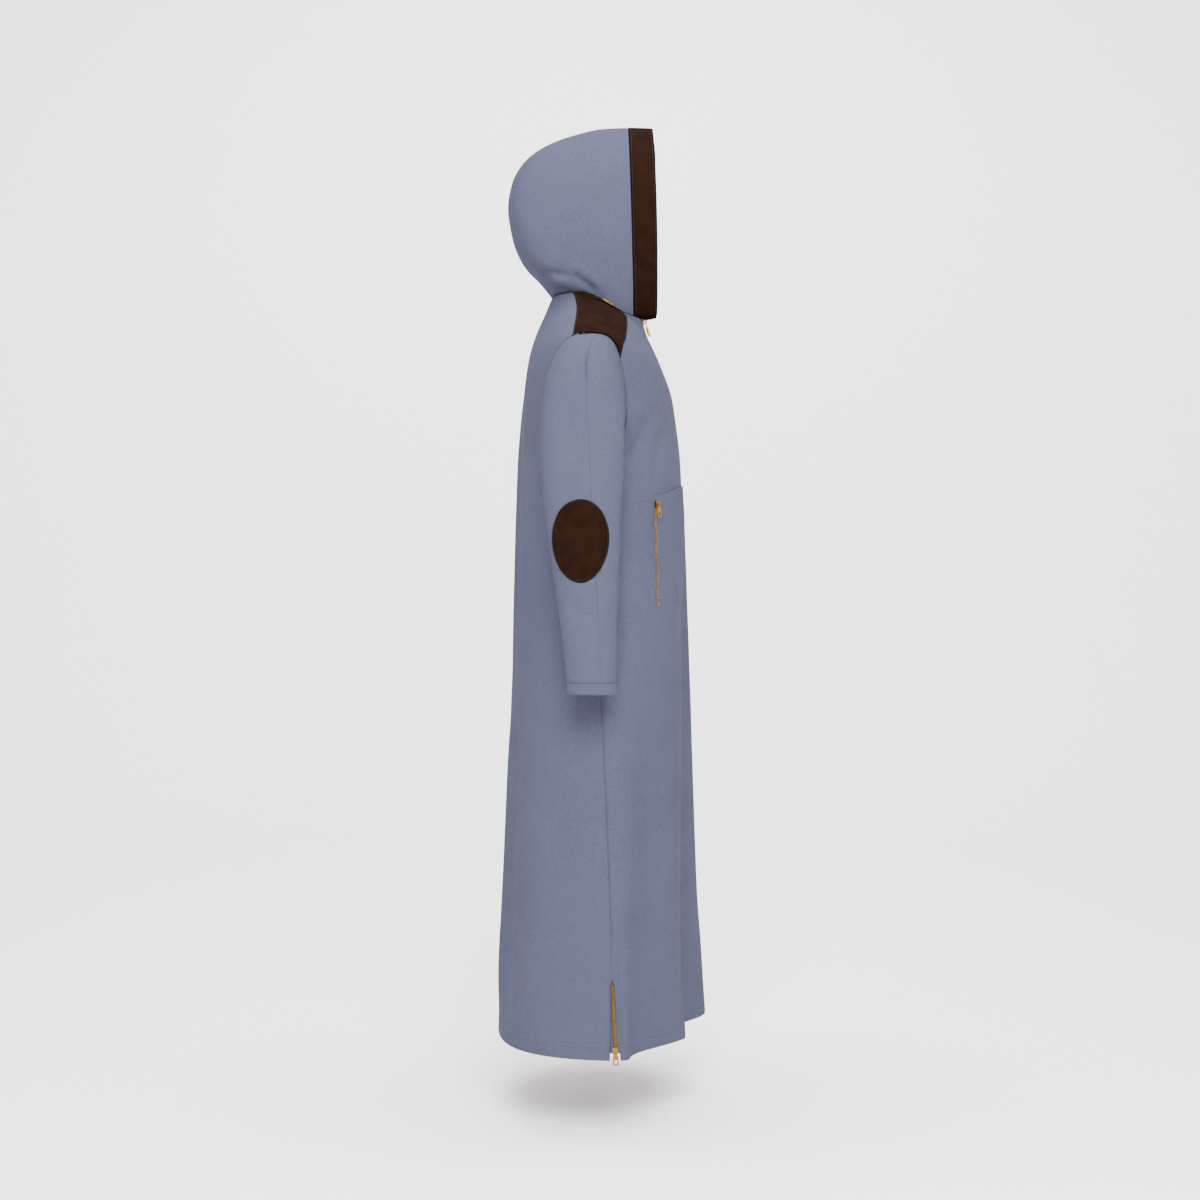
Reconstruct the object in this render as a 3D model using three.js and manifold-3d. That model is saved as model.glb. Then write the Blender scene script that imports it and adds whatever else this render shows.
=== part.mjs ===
// A hooded thobe, worn shape, hollow and held at the base of the neck.
// Millimetres, +Z up, the wearer faces -Y and the wearer's right side is -X.
import * as THREE from "three";
import { mergeVertices } from "three/addons/utils/BufferGeometryUtils.js";
import Module from "manifold-3d";

const wasm = await Module();
wasm.setup();

// Cloth, seams and metal
const CLOTH_WALL = 2.0;
const BAND_WALL = 3.0;
const PATCH_WALL = 1.6;
const PATCH_LIFT = 1.0;
const TAB_WALL = 1.8;
const SEAM_GAP = 0.3;
const SIDES = { right: -1, left: 1 };

// Lengths of the whole garment, down from the shoulder
const ARMPIT_UP = -330;
const WAIST_SIDE_UP = -410;
const WAIST_FRONT_UP = -357;
const HEM_UP = -1360;

// Neckline, seen from above: an oval, its height listed by the angle from the centre back
const NECK = { halfWidth: 80, middle: 5, back: 85, front: 82 };
const NECK_HEIGHTS = [
  { angle: 0, up: -3 },
  { angle: 55, up: -3 },
  { angle: 70, up: -4 },
  { angle: 82, up: -9 },
  { angle: 90, up: -14 },
  { angle: 98, up: -20 },
  { angle: 108, up: -30 },
  { angle: 123, up: -38 },
  { angle: 145, up: -43 },
  { angle: 160, up: -44 },
  { angle: 180, up: -42 },
];

// The levels of the body under this one take their heights from the neckline
const NECK_EASE = 0.6;

// Shoulder seam from the neckline (0) to the top of the armhole (1)
const SHOULDER_SEAM = [
  { along: 0.0, across: 80, forward: 5, up: -14 },
  { along: 0.22, across: 115, forward: 8, up: -27 },
  { along: 0.44, across: 150, forward: 12, up: -42 },
  { along: 0.65, across: 185, forward: 16, up: -59 },
  { along: 0.83, across: 215, forward: 19, up: -79 },
  { along: 1.0, across: 245, forward: 21, up: -106 },
];

// Armhole: a loop round the arm, squarer at the top, cut deeper into the back than the front
const ARMHOLE = {
  top: { across: 245, forward: 21, up: -106 },
  bottom: { across: 232, forward: 12 },
  back: { forward: 86, hollow: 30, squareness: 0.6 },
  front: { forward: -47, hollow: 22, squareness: 0.45 },
};

// Centre lines of the body: how far back and front the cloth stands at each height
const CENTRE_LINES = [
  { up: -3, back: 90, front: -60 },
  { up: -42, back: 106, front: -77 },
  { up: -81, back: 122, front: -90 },
  { up: -119, back: 133, front: -107 },
  { up: -156, back: 139, front: -122 },
  { up: -194, back: 143, front: -135 },
  { up: -232, back: 147, front: -141 },
  { up: -307, back: 152, front: -150 },
  { up: -363, back: 154, front: -153 },
  { up: -420, back: 156, front: -156 },
  { up: -570, back: 160, front: -160 },
  { up: -758, back: 165, front: -165 },
  { up: -946, back: 171, front: -170 },
  { up: -1134, back: 179, front: -176 },
  { up: -1228, back: 184, front: -180 },
  { up: -1322, back: 188, front: -184 },
  { up: -1360, back: 190, front: -186 },
];

// Side seams under the armpit
const SIDE_SEAM = [
  { up: -330, across: 232, forward: 12 },
  { up: -400, across: 234, forward: 8 },
  { up: -470, across: 238, forward: 5 },
  { up: -570, across: 245, forward: 2 },
  { up: -731, across: 254, forward: -2 },
  { up: -915, across: 262, forward: -10 },
  { up: -1139, across: 270, forward: -19 },
  { up: -1225, across: 272, forward: -21 },
  { up: -1360, across: 275, forward: -27 },
];

// Height of the centre back and centre front on each level of the body
const LEVELS = [
  { level: 0, backUp: -3, frontUp: -42 },
  { level: 0.5, backUp: -75, frontUp: -88 },
  { level: 1, backUp: -150, frontUp: -145 },
  { level: 1.5, backUp: -240, frontUp: -220 },
  { level: 2, backUp: -335, frontUp: -297 },
];

// Front skirt: centre line, and the soft pleat that opens from the waist seam to the hem
const SKIRT_FRONT = [
  { up: -357, front: -156 },
  { up: -420, front: -162 },
  { up: -570, front: -170 },
  { up: -758, front: -179 },
  { up: -946, front: -187 },
  { up: -1134, front: -196 },
  { up: -1228, front: -204 },
  { up: -1322, front: -211 },
  { up: -1360, front: -214 },
];
const PLEAT = {
  setBack: { at: -30, reach: 55, depth: 38 },
  valley: { at: -10, rightReach: 17, leftReach: 30, depth: 52 },
  waistShare: 0.35,
  growth: 0.9,
};

// Soft hollows beside the side seams, which grow to the hem; the fuller back of the skirt;
// and the angles and the fall over which the skirt meets the front tops without a step
const HOLLOWS = { right: { at: -56, reach: 36, depth: 48 }, left: { at: 58, reach: 34, depth: 34 }, growth: 1.5 };
const BACK_FULLNESS = 0.28;
const FLUSH = { fromAngle: 35, toAngle: 60, fall: 0.3 };

// Sleeve: outer and inner line of the arm, and how far the ring reaches back and front
const SLEEVE_RINGS = [
  { along: 0.0, outerX: 245, outerUp: -106, innerX: 232, innerUp: -330, back: 86, front: -47 },
  { along: 0.12, outerX: 275, outerUp: -124, innerX: 243, innerUp: -334, back: 97, front: -44 },
  { along: 0.25, outerX: 297, outerUp: -163, innerX: 246, innerUp: -353, back: 101, front: -43 },
  { along: 0.38, outerX: 309, outerUp: -225, innerX: 249, innerUp: -378, back: 102, front: -42 },
  { along: 0.5, outerX: 317, outerUp: -300, innerX: 252, innerUp: -412, back: 100, front: -41 },
  { along: 0.62, outerX: 325, outerUp: -385, innerX: 256, innerUp: -462, back: 94, front: -37 },
  { along: 0.74, outerX: 333, outerUp: -480, innerX: 262, innerUp: -528, back: 83, front: -34 },
  { along: 0.86, outerX: 344, outerUp: -592, innerX: 272, innerUp: -614, back: 69, front: -30 },
  { along: 1.0, outerX: 356, outerUp: -710, innerX: 284, innerUp: -712, back: 56, front: -27 },
];
const SLEEVE_BLEND = { top: 0.3, armpit: 0.14 };
const SLEEVE_TRIM = 0.82;
const OUTER_SEAM = { top: -3, cuff: -25 };
const CUFF = { depth: 20, proud: 0.6, sides: 22 };

// Hood: arches from the face opening (0) back and down to the nape (1)
const HOOD_ARCHES = [
  { back: 0.0, foot: 166, widestY: -104, widestUp: 150, halfWidth: 96, topY: -98, topUp: 314 },
  { back: 0.14, foot: 145, widestY: -57, widestUp: 148, halfWidth: 101, topY: -52, topUp: 315 },
  { back: 0.28, foot: 128, widestY: -16, widestUp: 140, halfWidth: 104, topY: -5, topUp: 313 },
  { back: 0.4, foot: 115, widestY: 20, widestUp: 132, halfWidth: 105, topY: 45, topUp: 302 },
  { back: 0.52, foot: 103, widestY: 52, widestUp: 120, halfWidth: 105, topY: 95, topUp: 284 },
  { back: 0.62, foot: 94, widestY: 77, widestUp: 106, halfWidth: 104, topY: 138, topUp: 255 },
  { back: 0.71, foot: 86, widestY: 92, widestUp: 89, halfWidth: 102, topY: 165, topUp: 211 },
  { back: 0.79, foot: 79, widestY: 97, widestUp: 70, halfWidth: 99, topY: 173, topUp: 163 },
  { back: 0.86, foot: 73, widestY: 92, widestUp: 47, halfWidth: 95, topY: 164, topUp: 105 },
  { back: 0.92, foot: 68, widestY: 78, widestUp: 26, halfWidth: 89, topY: 145, topUp: 61 },
  { back: 0.96, foot: 64, widestY: 62, widestUp: 10, halfWidth: 81, topY: 117, topUp: 31 },
  { back: 1.0, foot: 60, widestY: 47.5, widestUp: -3, halfWidth: 69.3, topY: 90, topUp: -3 },
];
const BAND = {
  end: 0.14,
  proud: 0.8,
  frontFoot: { across: 15, forward: -107, up: -38 },
  leftEdge: { at: 0.24, reach: 0.26, forward: 6.5 },
};

// Shoulder patch, shoulder tab and its metal bar
const SHOULDER_PATCH = {
  neck: { level: 0.03, back: 49, front: -37 },
  middle: { back: 41, front: -48 },
  armhole: { backAngle: 13, frontAngle: -50 },
};
const SHOULDER_TAB = { level: 0.175, halfWidth: 0.055, back: 12, front: -37 };
const SHOULDER_BAR = { length: 23, width: 9, thickness: 3, forward: -11, level: 0.21, lift: 0.9 };

// Elbow patch: an egg on the outer side of the sleeve
const ELBOW_PATCH = { forward: 33, up: -470, halfWidth: 48, halfHeight: 71, narrowing: 0.07, lift: 0.8 };

// Zips: strip sizes, and where each one runs
const FRONT_ZIP = { width: 6.2, thickness: 2.6, seatLevel: 0.07 };
const POCKET_ZIP = { angle: 49, topUp: -392, bottomUp: -582, width: 9, thickness: 2.0 };
const SIDE_ZIP = {
  topUp: -1228,
  middleUp: -1303,
  bottomUp: -1352,
  topWidth: 6,
  hemWidth: 19,
  fill: 0.86,
  thickness: 2.4,
};
const SLIDER = { width: 9, length: 12, thickness: 3.2 };
const BAIL = { width: 2.2, wire: 1.4, pivotHeight: 2.5, reach: 3.5, rise: 2.9 };
const PULL = { width: 9.5, length: 24, thickness: 1.6, eye: 5.4, neck: 1.1, hole: 5, holeLength: 7 };
const LEAF_PULL = { width: 7, length: 30, front: 2.6, back: 4.2, tip: 1.0, halfNeck: 0.8 };

// Colours and finishes
const SLATE = { color: 0x7e8498, roughness: 0.85, metalness: 0.0 };
const BROWN = { color: 0x3c251d, roughness: 0.8, metalness: 0.0 };
const GOLD = { color: 0xc79a52, roughness: 0.3, metalness: 1.0 };

const garment = new THREE.Group();
const degrees = THREE.MathUtils.degToRad;
const mix = THREE.MathUtils.lerp;
const clamp = THREE.MathUtils.clamp;

// A smooth function through one column of a table: cubic pieces that never overshoot
function columnOf(rows, place, value) {
  const x = rows.map((row) => row[place]);
  const y = rows.map((row) => row[value]);
  const descending = x[0] > x[x.length - 1];
  if (descending) {
    x.reverse();
    y.reverse();
  }
  const slopes = x.slice(1).map((right, i) => (y[i + 1] - y[i]) / (right - x[i]));
  const tangents = x.map((_, i) => {
    if (i === 0) return slopes[0];
    if (i === x.length - 1) return slopes[slopes.length - 1];
    const before = slopes[i - 1];
    const after = slopes[i];
    return before * after <= 0 ? 0 : (2 * before * after) / (before + after);
  });
  return (at) => {
    const where = clamp(at, x[0], x[x.length - 1]);
    let i = 0;
    while (i < slopes.length - 1 && where > x[i + 1]) i += 1;
    const step = x[i + 1] - x[i];
    const t = (where - x[i]) / step;
    const keepStart = (1 + 2 * t) * (1 - t) ** 2;
    const keepEnd = t * t * (3 - 2 * t);
    const bendStart = t * (1 - t) ** 2 * step;
    const bendEnd = t * t * (t - 1) * step;
    return keepStart * y[i] + keepEnd * y[i + 1] + bendStart * tangents[i] + bendEnd * tangents[i + 1];
  };
}

function columnsOf(rows, place, names) {
  return Object.fromEntries(names.map((name) => [name, columnOf(rows, place, name)]));
}

// Evenly spaced values from one end to the other, both included
function spread(from, to, steps) {
  return Array.from({ length: steps + 1 }, (_, i) => mix(from, to, i / steps));
}

function smooth(from, to, at) {
  return THREE.MathUtils.smoothstep(at, from, to);
}

// A piece's geometry from its triangles, turned so that they face out
function closedGeometry(points, triangles) {
  const a = new THREE.Vector3();
  const b = new THREE.Vector3();
  const volume = triangles.reduce((sum, [i, j, k]) => {
    a.copy(points[i]);
    b.copy(points[j]).cross(points[k]);
    return sum + a.dot(b);
  }, 0);
  const facing = volume < 0 ? triangles.map(([i, j, k]) => [i, k, j]) : triangles;
  const geometry = new THREE.BufferGeometry();
  const positions = points.flatMap((point) => [point.x, point.y, point.z]);
  geometry.setAttribute("position", new THREE.Float32BufferAttribute(positions, 3));
  geometry.setIndex(facing.flat());
  geometry.computeVertexNormals();
  return geometry;
}

// The direction out of a surface, from small steps that stay inside its own range
function normalAt(surface, u, v, range) {
  const step = 1e-3;
  const u0 = clamp(u - step, range.u[0], range.u[1]);
  const u1 = clamp(u + step, range.u[0], range.u[1]);
  const v0 = clamp(v - step, range.v[0], range.v[1]);
  const v1 = clamp(v + step, range.v[0], range.v[1]);
  const alongU = surface(u1, v).sub(surface(u0, v));
  const alongV = surface(u, v1).sub(surface(u, v0));
  return alongU.cross(alongV).normalize();
}

// A wall of cloth: the outer points of a surface, and the same points moved in by the wall.
// trim draws an edge back along the cloth, so that neighbours keep their seam gap.
function clothPiece({ surface, us, vs, inside, wall = CLOTH_WALL, proud = 0, trim = {} }) {
  const range = { u: [us[0], us[us.length - 1]], v: [vs[0], vs[vs.length - 1]] };
  const drawn = (amount, at) => (typeof amount === "function" ? amount(at) : (amount ?? SEAM_GAP / 2));
  const step = 1e-3;
  const grid = vs.map((v, row) =>
    us.map((u, column) => {
      let nextU = u;
      let nextV = v;
      if (column === 0 || column === us.length - 1) {
        const way = column === 0 ? 1 : -1;
        const length = surface(u, v).distanceTo(surface(u + way * step, v)) / step;
        nextU = u + (way * drawn(column === 0 ? trim.uStart : trim.uEnd, v)) / length;
      }
      if (row === 0 || row === vs.length - 1) {
        const way = row === 0 ? 1 : -1;
        const length = surface(u, v).distanceTo(surface(u, v + way * step)) / step;
        nextV = v + (way * drawn(row === 0 ? trim.vStart : trim.vEnd, u)) / length;
      }
      return { point: surface(nextU, nextV), normal: normalAt(surface, nextU, nextV, range) };
    }),
  );
  const facing = grid.flat().reduce((sum, { point, normal }) => sum + normal.dot(point.clone().sub(inside)), 0);
  const way = Math.sign(facing);
  const outer = grid.flat().map(({ point, normal }) => point.clone().addScaledVector(normal, way * proud));
  const inner = grid.flat().map(({ point, normal }) => point.clone().addScaledVector(normal, way * (proud - wall)));
  const points = [...outer, ...inner];
  const columns = us.length;
  const rows = vs.length;
  const behind = outer.length;
  const triangles = [];
  for (let r = 0; r < rows - 1; r += 1) {
    for (let c = 0; c < columns - 1; c += 1) {
      const corner = r * columns + c;
      const across = corner + 1;
      const down = corner + columns;
      const far = down + 1;
      const straight = points[corner].distanceTo(points[far]) <= points[across].distanceTo(points[down]);
      const pair = straight
        ? [[corner, across, far], [corner, far, down]]
        : [[corner, across, down], [across, far, down]];
      for (const [i, j, k] of pair) {
        triangles.push([i, j, k], [i + behind, k + behind, j + behind]);
      }
    }
  }
  const rim = [];
  for (let c = 0; c < columns - 1; c += 1) rim.push([c, c + 1]);
  for (let r = 0; r < rows - 1; r += 1) rim.push([(r + 1) * columns - 1, (r + 2) * columns - 1]);
  for (let c = columns - 1; c > 0; c -= 1) rim.push([(rows - 1) * columns + c, (rows - 1) * columns + c - 1]);
  for (let r = rows - 1; r > 0; r -= 1) rim.push([r * columns, (r - 1) * columns]);
  for (const [from, to] of rim) {
    triangles.push([to, from, from + behind], [to, from + behind, to + behind]);
  }
  return closedGeometry(points, triangles);
}

function addPiece(name, geometry, finish, parent = garment) {
  const mesh = new THREE.Mesh(geometry, new THREE.MeshStandardMaterial(finish));
  mesh.name = name;
  parent.add(mesh);
  return mesh;
}

// A closed three.js geometry as a solid for joining and cutting
function solidOf(geometry) {
  const bare = geometry.clone();
  bare.deleteAttribute("normal");
  bare.deleteAttribute("uv");
  const merged = mergeVertices(bare, 1e-4);
  const triVerts = new Uint32Array(merged.index.array);
  const vertProperties = new Float32Array(merged.attributes.position.array);
  return new wasm.Manifold(new wasm.Mesh({ numProp: 3, vertProperties, triVerts }));
}

function geometryOf(solid) {
  const { vertProperties, triVerts } = solid.getMesh();
  const geometry = new THREE.BufferGeometry();
  geometry.setAttribute("position", new THREE.BufferAttribute(vertProperties, 3));
  geometry.setIndex(new THREE.BufferAttribute(triVerts, 1));
  geometry.computeVertexNormals();
  return geometry;
}

// Neckline point at an angle from the centre back, on the wearer's left
const neckHeight = columnOf(NECK_HEIGHTS, "angle", "up");
function neckline(angle) {
  const turn = degrees(angle);
  const reach = angle <= 90 ? NECK.back : NECK.front;
  const forward = NECK.middle + reach * Math.cos(turn);
  return new THREE.Vector3(NECK.halfWidth * Math.sin(turn), forward, neckHeight(angle));
}

const shoulder = columnsOf(SHOULDER_SEAM, "along", ["across", "forward", "up"]);
const side = columnsOf(SIDE_SEAM, "up", ["across", "forward"]);
const centre = columnsOf(CENTRE_LINES, "up", ["back", "front"]);
const level = columnsOf(LEVELS, "level", ["backUp", "frontUp"]);

// Middle of the armhole, front to back, at an angle from its top
function armholeMiddle(angle) {
  const share = (1 + Math.cos(degrees(angle))) / 2;
  return mix(ARMHOLE.bottom.forward, ARMHOLE.top.forward, share);
}

// Armhole point at an angle from its top: back for a positive angle, front for a negative one
function armhole(angle) {
  const part = angle >= 0 ? ARMHOLE.back : ARMHOLE.front;
  const cosine = Math.cos(degrees(angle));
  const sine = Math.abs(Math.sin(degrees(angle)));
  const share = (1 + cosine) / 2;
  const roundness = mix(1, part.squareness, share);
  const widest = armholeMiddle(90);
  const forward = armholeMiddle(angle) + (part.forward - widest) * sine ** roundness;
  const across = ARMHOLE.bottom.across + (ARMHOLE.top.across - ARMHOLE.bottom.across) * share ** 2;
  const up = mix(ARMPIT_UP, ARMHOLE.top.up, share);
  return new THREE.Vector3(across - part.hollow * sine ** 0.9, forward, up);
}

// The level of the body at a height under the armpit
function levelAt(up) {
  return 2 + (ARMPIT_UP - up) / (ARMPIT_UP - HEM_UP);
}

const WAIST_LEVEL = levelAt(WAIST_SIDE_UP);

// Edge of the body's cloth on a level: shoulder seam (0 to 1), armhole (1 to 2), side seam (2 to 3)
function edgeOf(at, isBack) {
  if (at <= 1) {
    const point = new THREE.Vector3(shoulder.across(at), shoulder.forward(at), shoulder.up(at));
    return { point, middle: point.y };
  }
  if (at <= 2) {
    const angle = (at - 1) * 180;
    return { point: armhole(isBack ? angle : -angle), middle: armholeMiddle(angle) };
  }
  const up = mix(ARMPIT_UP, HEM_UP, at - 2);
  const point = new THREE.Vector3(side.across(up), side.forward(up), up);
  return { point, middle: point.y };
}

// Centre of the body's cloth on a level
function centreOf(at, isBack) {
  if (isBack) {
    const up = at <= 2 ? level.backUp(at) : mix(level.backUp(2), HEM_UP, at - 2);
    return { forward: centre.back(up), up };
  }
  if (at <= 2) {
    const up = level.frontUp(at);
    return { forward: centre.front(up), up };
  }
  if (at <= WAIST_LEVEL) {
    const up = mix(level.frontUp(2), WAIST_FRONT_UP, (at - 2) / (WAIST_LEVEL - 2));
    return { forward: centre.front(up), up };
  }
  const up = mix(WAIST_FRONT_UP, HEM_UP, (at - WAIST_LEVEL) / (3 - WAIST_LEVEL));
  return { forward: centre.front(up), up };
}

// A level is part of an oval from the centre to the side; turn is the angle along it
function levelPoint(edge, middleLine, turn, lastTurn) {
  const sine = Math.sin(turn) / Math.sin(lastTurn);
  const forward = edge.middle + (middleLine.forward - edge.middle) * Math.cos(turn);
  const up = middleLine.up + (edge.point.z - middleLine.up) * sine ** 2;
  return new THREE.Vector3(edge.point.x * sine, forward, up);
}

function lastTurnOf(edge, middleLine) {
  const share = (edge.point.y - edge.middle) / (middleLine.forward - edge.middle);
  return Math.acos(clamp(share, 0, 0.999));
}

// The first levels ease from the neckline's own heights into the body's
function easedToNeck(point, turn, at, isBack) {
  if (at >= NECK_EASE) return point;
  const angle = THREE.MathUtils.radToDeg(isBack ? turn : Math.PI - turn);
  const plain = levelPoint(edgeOf(0, isBack), centreOf(0, isBack), turn, Math.PI / 2);
  point.z += (neckHeight(angle) - plain.z) * (1 - smooth(0, NECK_EASE, at));
  return point;
}

// Half of the body: share runs from the centre (0) to the edge (1), on the wearer's left
function bodyPoint(share, at, isBack) {
  const edge = edgeOf(at, isBack);
  const middleLine = centreOf(at, isBack);
  const lastTurn = lastTurnOf(edge, middleLine);
  const turn = share * lastTurn;
  return easedToNeck(levelPoint(edge, middleLine, turn, lastTurn), turn, at, isBack);
}

// The whole back: share runs from the wearer's right edge (-1) over the centre to the left edge (1).
// Below the armpits its ovals grow fuller to the hem.
function wholeBack(share, at) {
  const point = bodyPoint(Math.abs(share), at, true);
  if (at > 2) {
    const { middle } = edgeOf(at, true);
    const turn = (Math.abs(share) * Math.PI) / 2;
    point.y += (point.y - middle) * BACK_FULLNESS * smooth(2, 3, at) * Math.sin(turn) ** 2;
  }
  point.x *= Math.sign(share) || 1;
  return point;
}

// Point on the shoulders of the wearer's left side, from the level and how far forward it lies
function shoulderPoint(forward, at) {
  const ridge = edgeOf(Math.min(at, 1), true).point.y;
  const isBack = forward >= ridge;
  const edge = edgeOf(at, isBack);
  const middleLine = centreOf(at, isBack);
  const share = (forward - edge.middle) / (middleLine.forward - edge.middle);
  const lastTurn = lastTurnOf(edge, middleLine);
  const turn = Math.min(Math.acos(clamp(share, 0, 1)), lastTurn);
  return easedToNeck(levelPoint(edge, middleLine, turn, lastTurn), turn, at, isBack);
}

// A soft hill that is 1 at its middle and 0 at its reach
function hill(at, middle, reach) {
  const away = Math.min(Math.abs(at - middle) / reach, 1);
  return Math.cos((away * Math.PI) / 2) ** 2;
}

const skirtFront = columnOf(SKIRT_FRONT, "up", "front");

// Front skirt: share runs from the right side seam (-1) to the left one (1)
function skirtPoint(share, at) {
  const edge = edgeOf(at, false);
  const middleLine = centreOf(at, false);
  const fall = (at - WAIST_LEVEL) / (3 - WAIST_LEVEL);
  const angle = share * 90;
  const turn = degrees(Math.abs(angle));
  const flush = smooth(FLUSH.fromAngle, FLUSH.toAngle, Math.abs(angle)) * (1 - smooth(0, FLUSH.fall, fall));
  const forward = mix(skirtFront(middleLine.up), middleLine.forward, flush);
  const point = levelPoint(edge, { forward, up: middleLine.up }, turn, Math.PI / 2);
  const opened = mix(PLEAT.waistShare, 1, fall);
  const valleyAt = PLEAT.valley.at * opened;
  const valleyReach = (angle < valleyAt ? PLEAT.valley.rightReach : PLEAT.valley.leftReach) * opened;
  const depth = Math.max(fall, 0) ** PLEAT.growth;
  point.y += depth * PLEAT.setBack.depth * hill(angle, PLEAT.setBack.at, PLEAT.setBack.reach);
  point.y += depth * PLEAT.valley.depth * hill(angle, valleyAt, valleyReach);
  const hollow = Math.max(fall, 0) ** HOLLOWS.growth;
  for (const { at: middle, reach, depth: most } of [HOLLOWS.right, HOLLOWS.left]) {
    point.y += hollow * most * hill(angle, middle, reach);
  }
  point.x *= Math.sign(share) || 1;
  return point;
}

const inBody = new THREE.Vector3(0, 0, -600);

// How far the side edges of the panels are drawn back: the seam, then the opening for the side zip
function sideTrim(at) {
  const up = mix(ARMPIT_UP, HEM_UP, at - 2);
  if (at < 2 || up > SIDE_ZIP.topUp + 5) return SEAM_GAP / 2;
  return sideZipWidth(up) / 2 + SEAM_GAP + 0.2;
}

function sideZipWidth(up) {
  const share = clamp((SIDE_ZIP.topUp - up) / (SIDE_ZIP.topUp - HEM_UP), 0, 1);
  return mix(SIDE_ZIP.topWidth, SIDE_ZIP.hemWidth, share);
}

const zipLevels = [levelAt(SIDE_ZIP.topUp + 8), levelAt(SIDE_ZIP.topUp), levelAt(SIDE_ZIP.middleUp), 3];

function buildBack() {
  const upper = [0, 0.12, 0.25, 0.5, 0.75, 1, 1.1, 1.22, 1.4, 1.58, 1.74, 1.85, 1.93, 2];
  const lower = [2.07, 2.15, 2.25, 2.36, 2.48, 2.61, 2.74, ...zipLevels];
  const geometry = clothPiece({
    surface: wholeBack,
    us: spread(-1, 1, 20),
    vs: [...upper, ...lower],
    inside: inBody,
    trim: { uStart: sideTrim, uEnd: sideTrim, vEnd: 0 },
  });
  addPiece("back_panel", geometry, SLATE);
}

function buildFrontTops() {
  const upper = [0, 0.12, 0.25, 0.5, 0.75, 0.9, 1, 1.07, 1.14, 1.21, 1.3, 1.41, 1.53, 1.65];
  const lower = [1.76, 1.86, 1.93, 2, WAIST_LEVEL];
  for (const [name, sign] of Object.entries(SIDES)) {
    const geometry = clothPiece({
      surface: (share, at) => {
        const point = bodyPoint(share, at, false);
        point.x *= sign;
        return point;
      },
      us: [0, 0.12, 0.24, 0.36, 0.48, 0.58, 0.67, 0.75, 0.83, 0.91, 1],
      vs: [...upper, ...lower],
      inside: inBody,
      trim: { uStart: FRONT_ZIP.width / 2 + SEAM_GAP },
    });
    addPiece("front_top_" + name, geometry, SLATE);
  }
}

function buildFrontSkirt() {
  const shares = [-1, -0.9, -0.8, -0.7, -0.6, -0.5, -0.42, -0.35, -0.29, -0.24, -0.19, -0.14, -0.1, -0.05];
  const leftShares = [0, 0.06, 0.12, 0.18, 0.24, 0.31, 0.4, 0.5, 0.6, 0.7, 0.8, 0.9, 1];
  const geometry = clothPiece({
    surface: skirtPoint,
    us: [...shares, ...leftShares],
    vs: [WAIST_LEVEL, 2.12, 2.18, 2.25, 2.36, 2.48, 2.61, 2.74, ...zipLevels],
    inside: inBody,
    trim: { uStart: sideTrim, uEnd: sideTrim, vEnd: 0 },
  });
  addPiece("front_skirt", geometry, SLATE);
}

const arch = columnsOf(HOOD_ARCHES, "back", [
  "foot",
  "widestY",
  "widestUp",
  "halfWidth",
  "topY",
  "topUp",
]);

// Foot of an arch: on the neckline, but for the band, whose front end stands free of it
function archFoot(back) {
  const seam = neckline(arch.foot(Math.max(back, BAND.end)));
  if (back >= BAND.end) return seam;
  const free = new THREE.Vector3(BAND.frontFoot.across, BAND.frontFoot.forward, BAND.frontFoot.up);
  return free.lerp(seam, back / BAND.end);
}

// Half of an arch of the hood: part runs from its foot (0) to the centre seam (1)
function rawHoodPoint(part, back) {
  const foot = archFoot(back);
  const halfWidth = Math.max(arch.halfWidth(back), foot.x + 1e-4);
  const dip = Math.acos(foot.x / halfWidth);
  const turn = mix(-dip, Math.PI / 2, part);
  const lift = (Math.sin(turn) + Math.sin(dip)) / (1 + Math.sin(dip));
  const widest = Math.max(Math.sin(dip) / (1 + Math.sin(dip)), 0.02);
  const fromFoot = ((lift - widest) * (lift - 1)) / widest;
  const fromWidest = (lift * (lift - 1)) / (widest * (widest - 1));
  const fromTop = (lift * (lift - widest)) / (1 - widest);
  const forward = fromFoot * foot.y + fromWidest * arch.widestY(back) + fromTop * arch.topY(back);
  const up = fromFoot * foot.z + fromWidest * arch.widestUp(back) + fromTop * arch.topUp(back);
  return new THREE.Vector3(halfWidth * Math.cos(turn), forward, up);
}

// The last arches ease onto the neckline, which the nape edge follows exactly
function hoodPoint(part, back) {
  const point = rawHoodPoint(part, back);
  const ease = smooth(0.8, 1, back);
  if (ease === 0) return point;
  const nape = neckline(arch.foot(1) * (1 - part));
  return point.addScaledVector(nape.sub(rawHoodPoint(part, 1)), ease);
}

const inHood = new THREE.Vector3(0, 20, 140);

function buildHood() {
  const backs = [BAND.end, 0.21, 0.28, 0.36, 0.44, 0.52, 0.6, 0.68, 0.75, 0.82, 0.88, 0.93, 0.97, 1];
  for (const [name, sign] of Object.entries(SIDES)) {
    const geometry = clothPiece({
      surface: (part, back) => {
        const point = hoodPoint(part, back);
        point.x *= sign;
        return point;
      },
      us: spread(0, 1, 12),
      vs: backs,
      inside: inHood,
      trim: { uStart: SEAM_GAP, vEnd: SEAM_GAP },
    });
    addPiece("hood_" + name, geometry, SLATE);
  }
}

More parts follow.
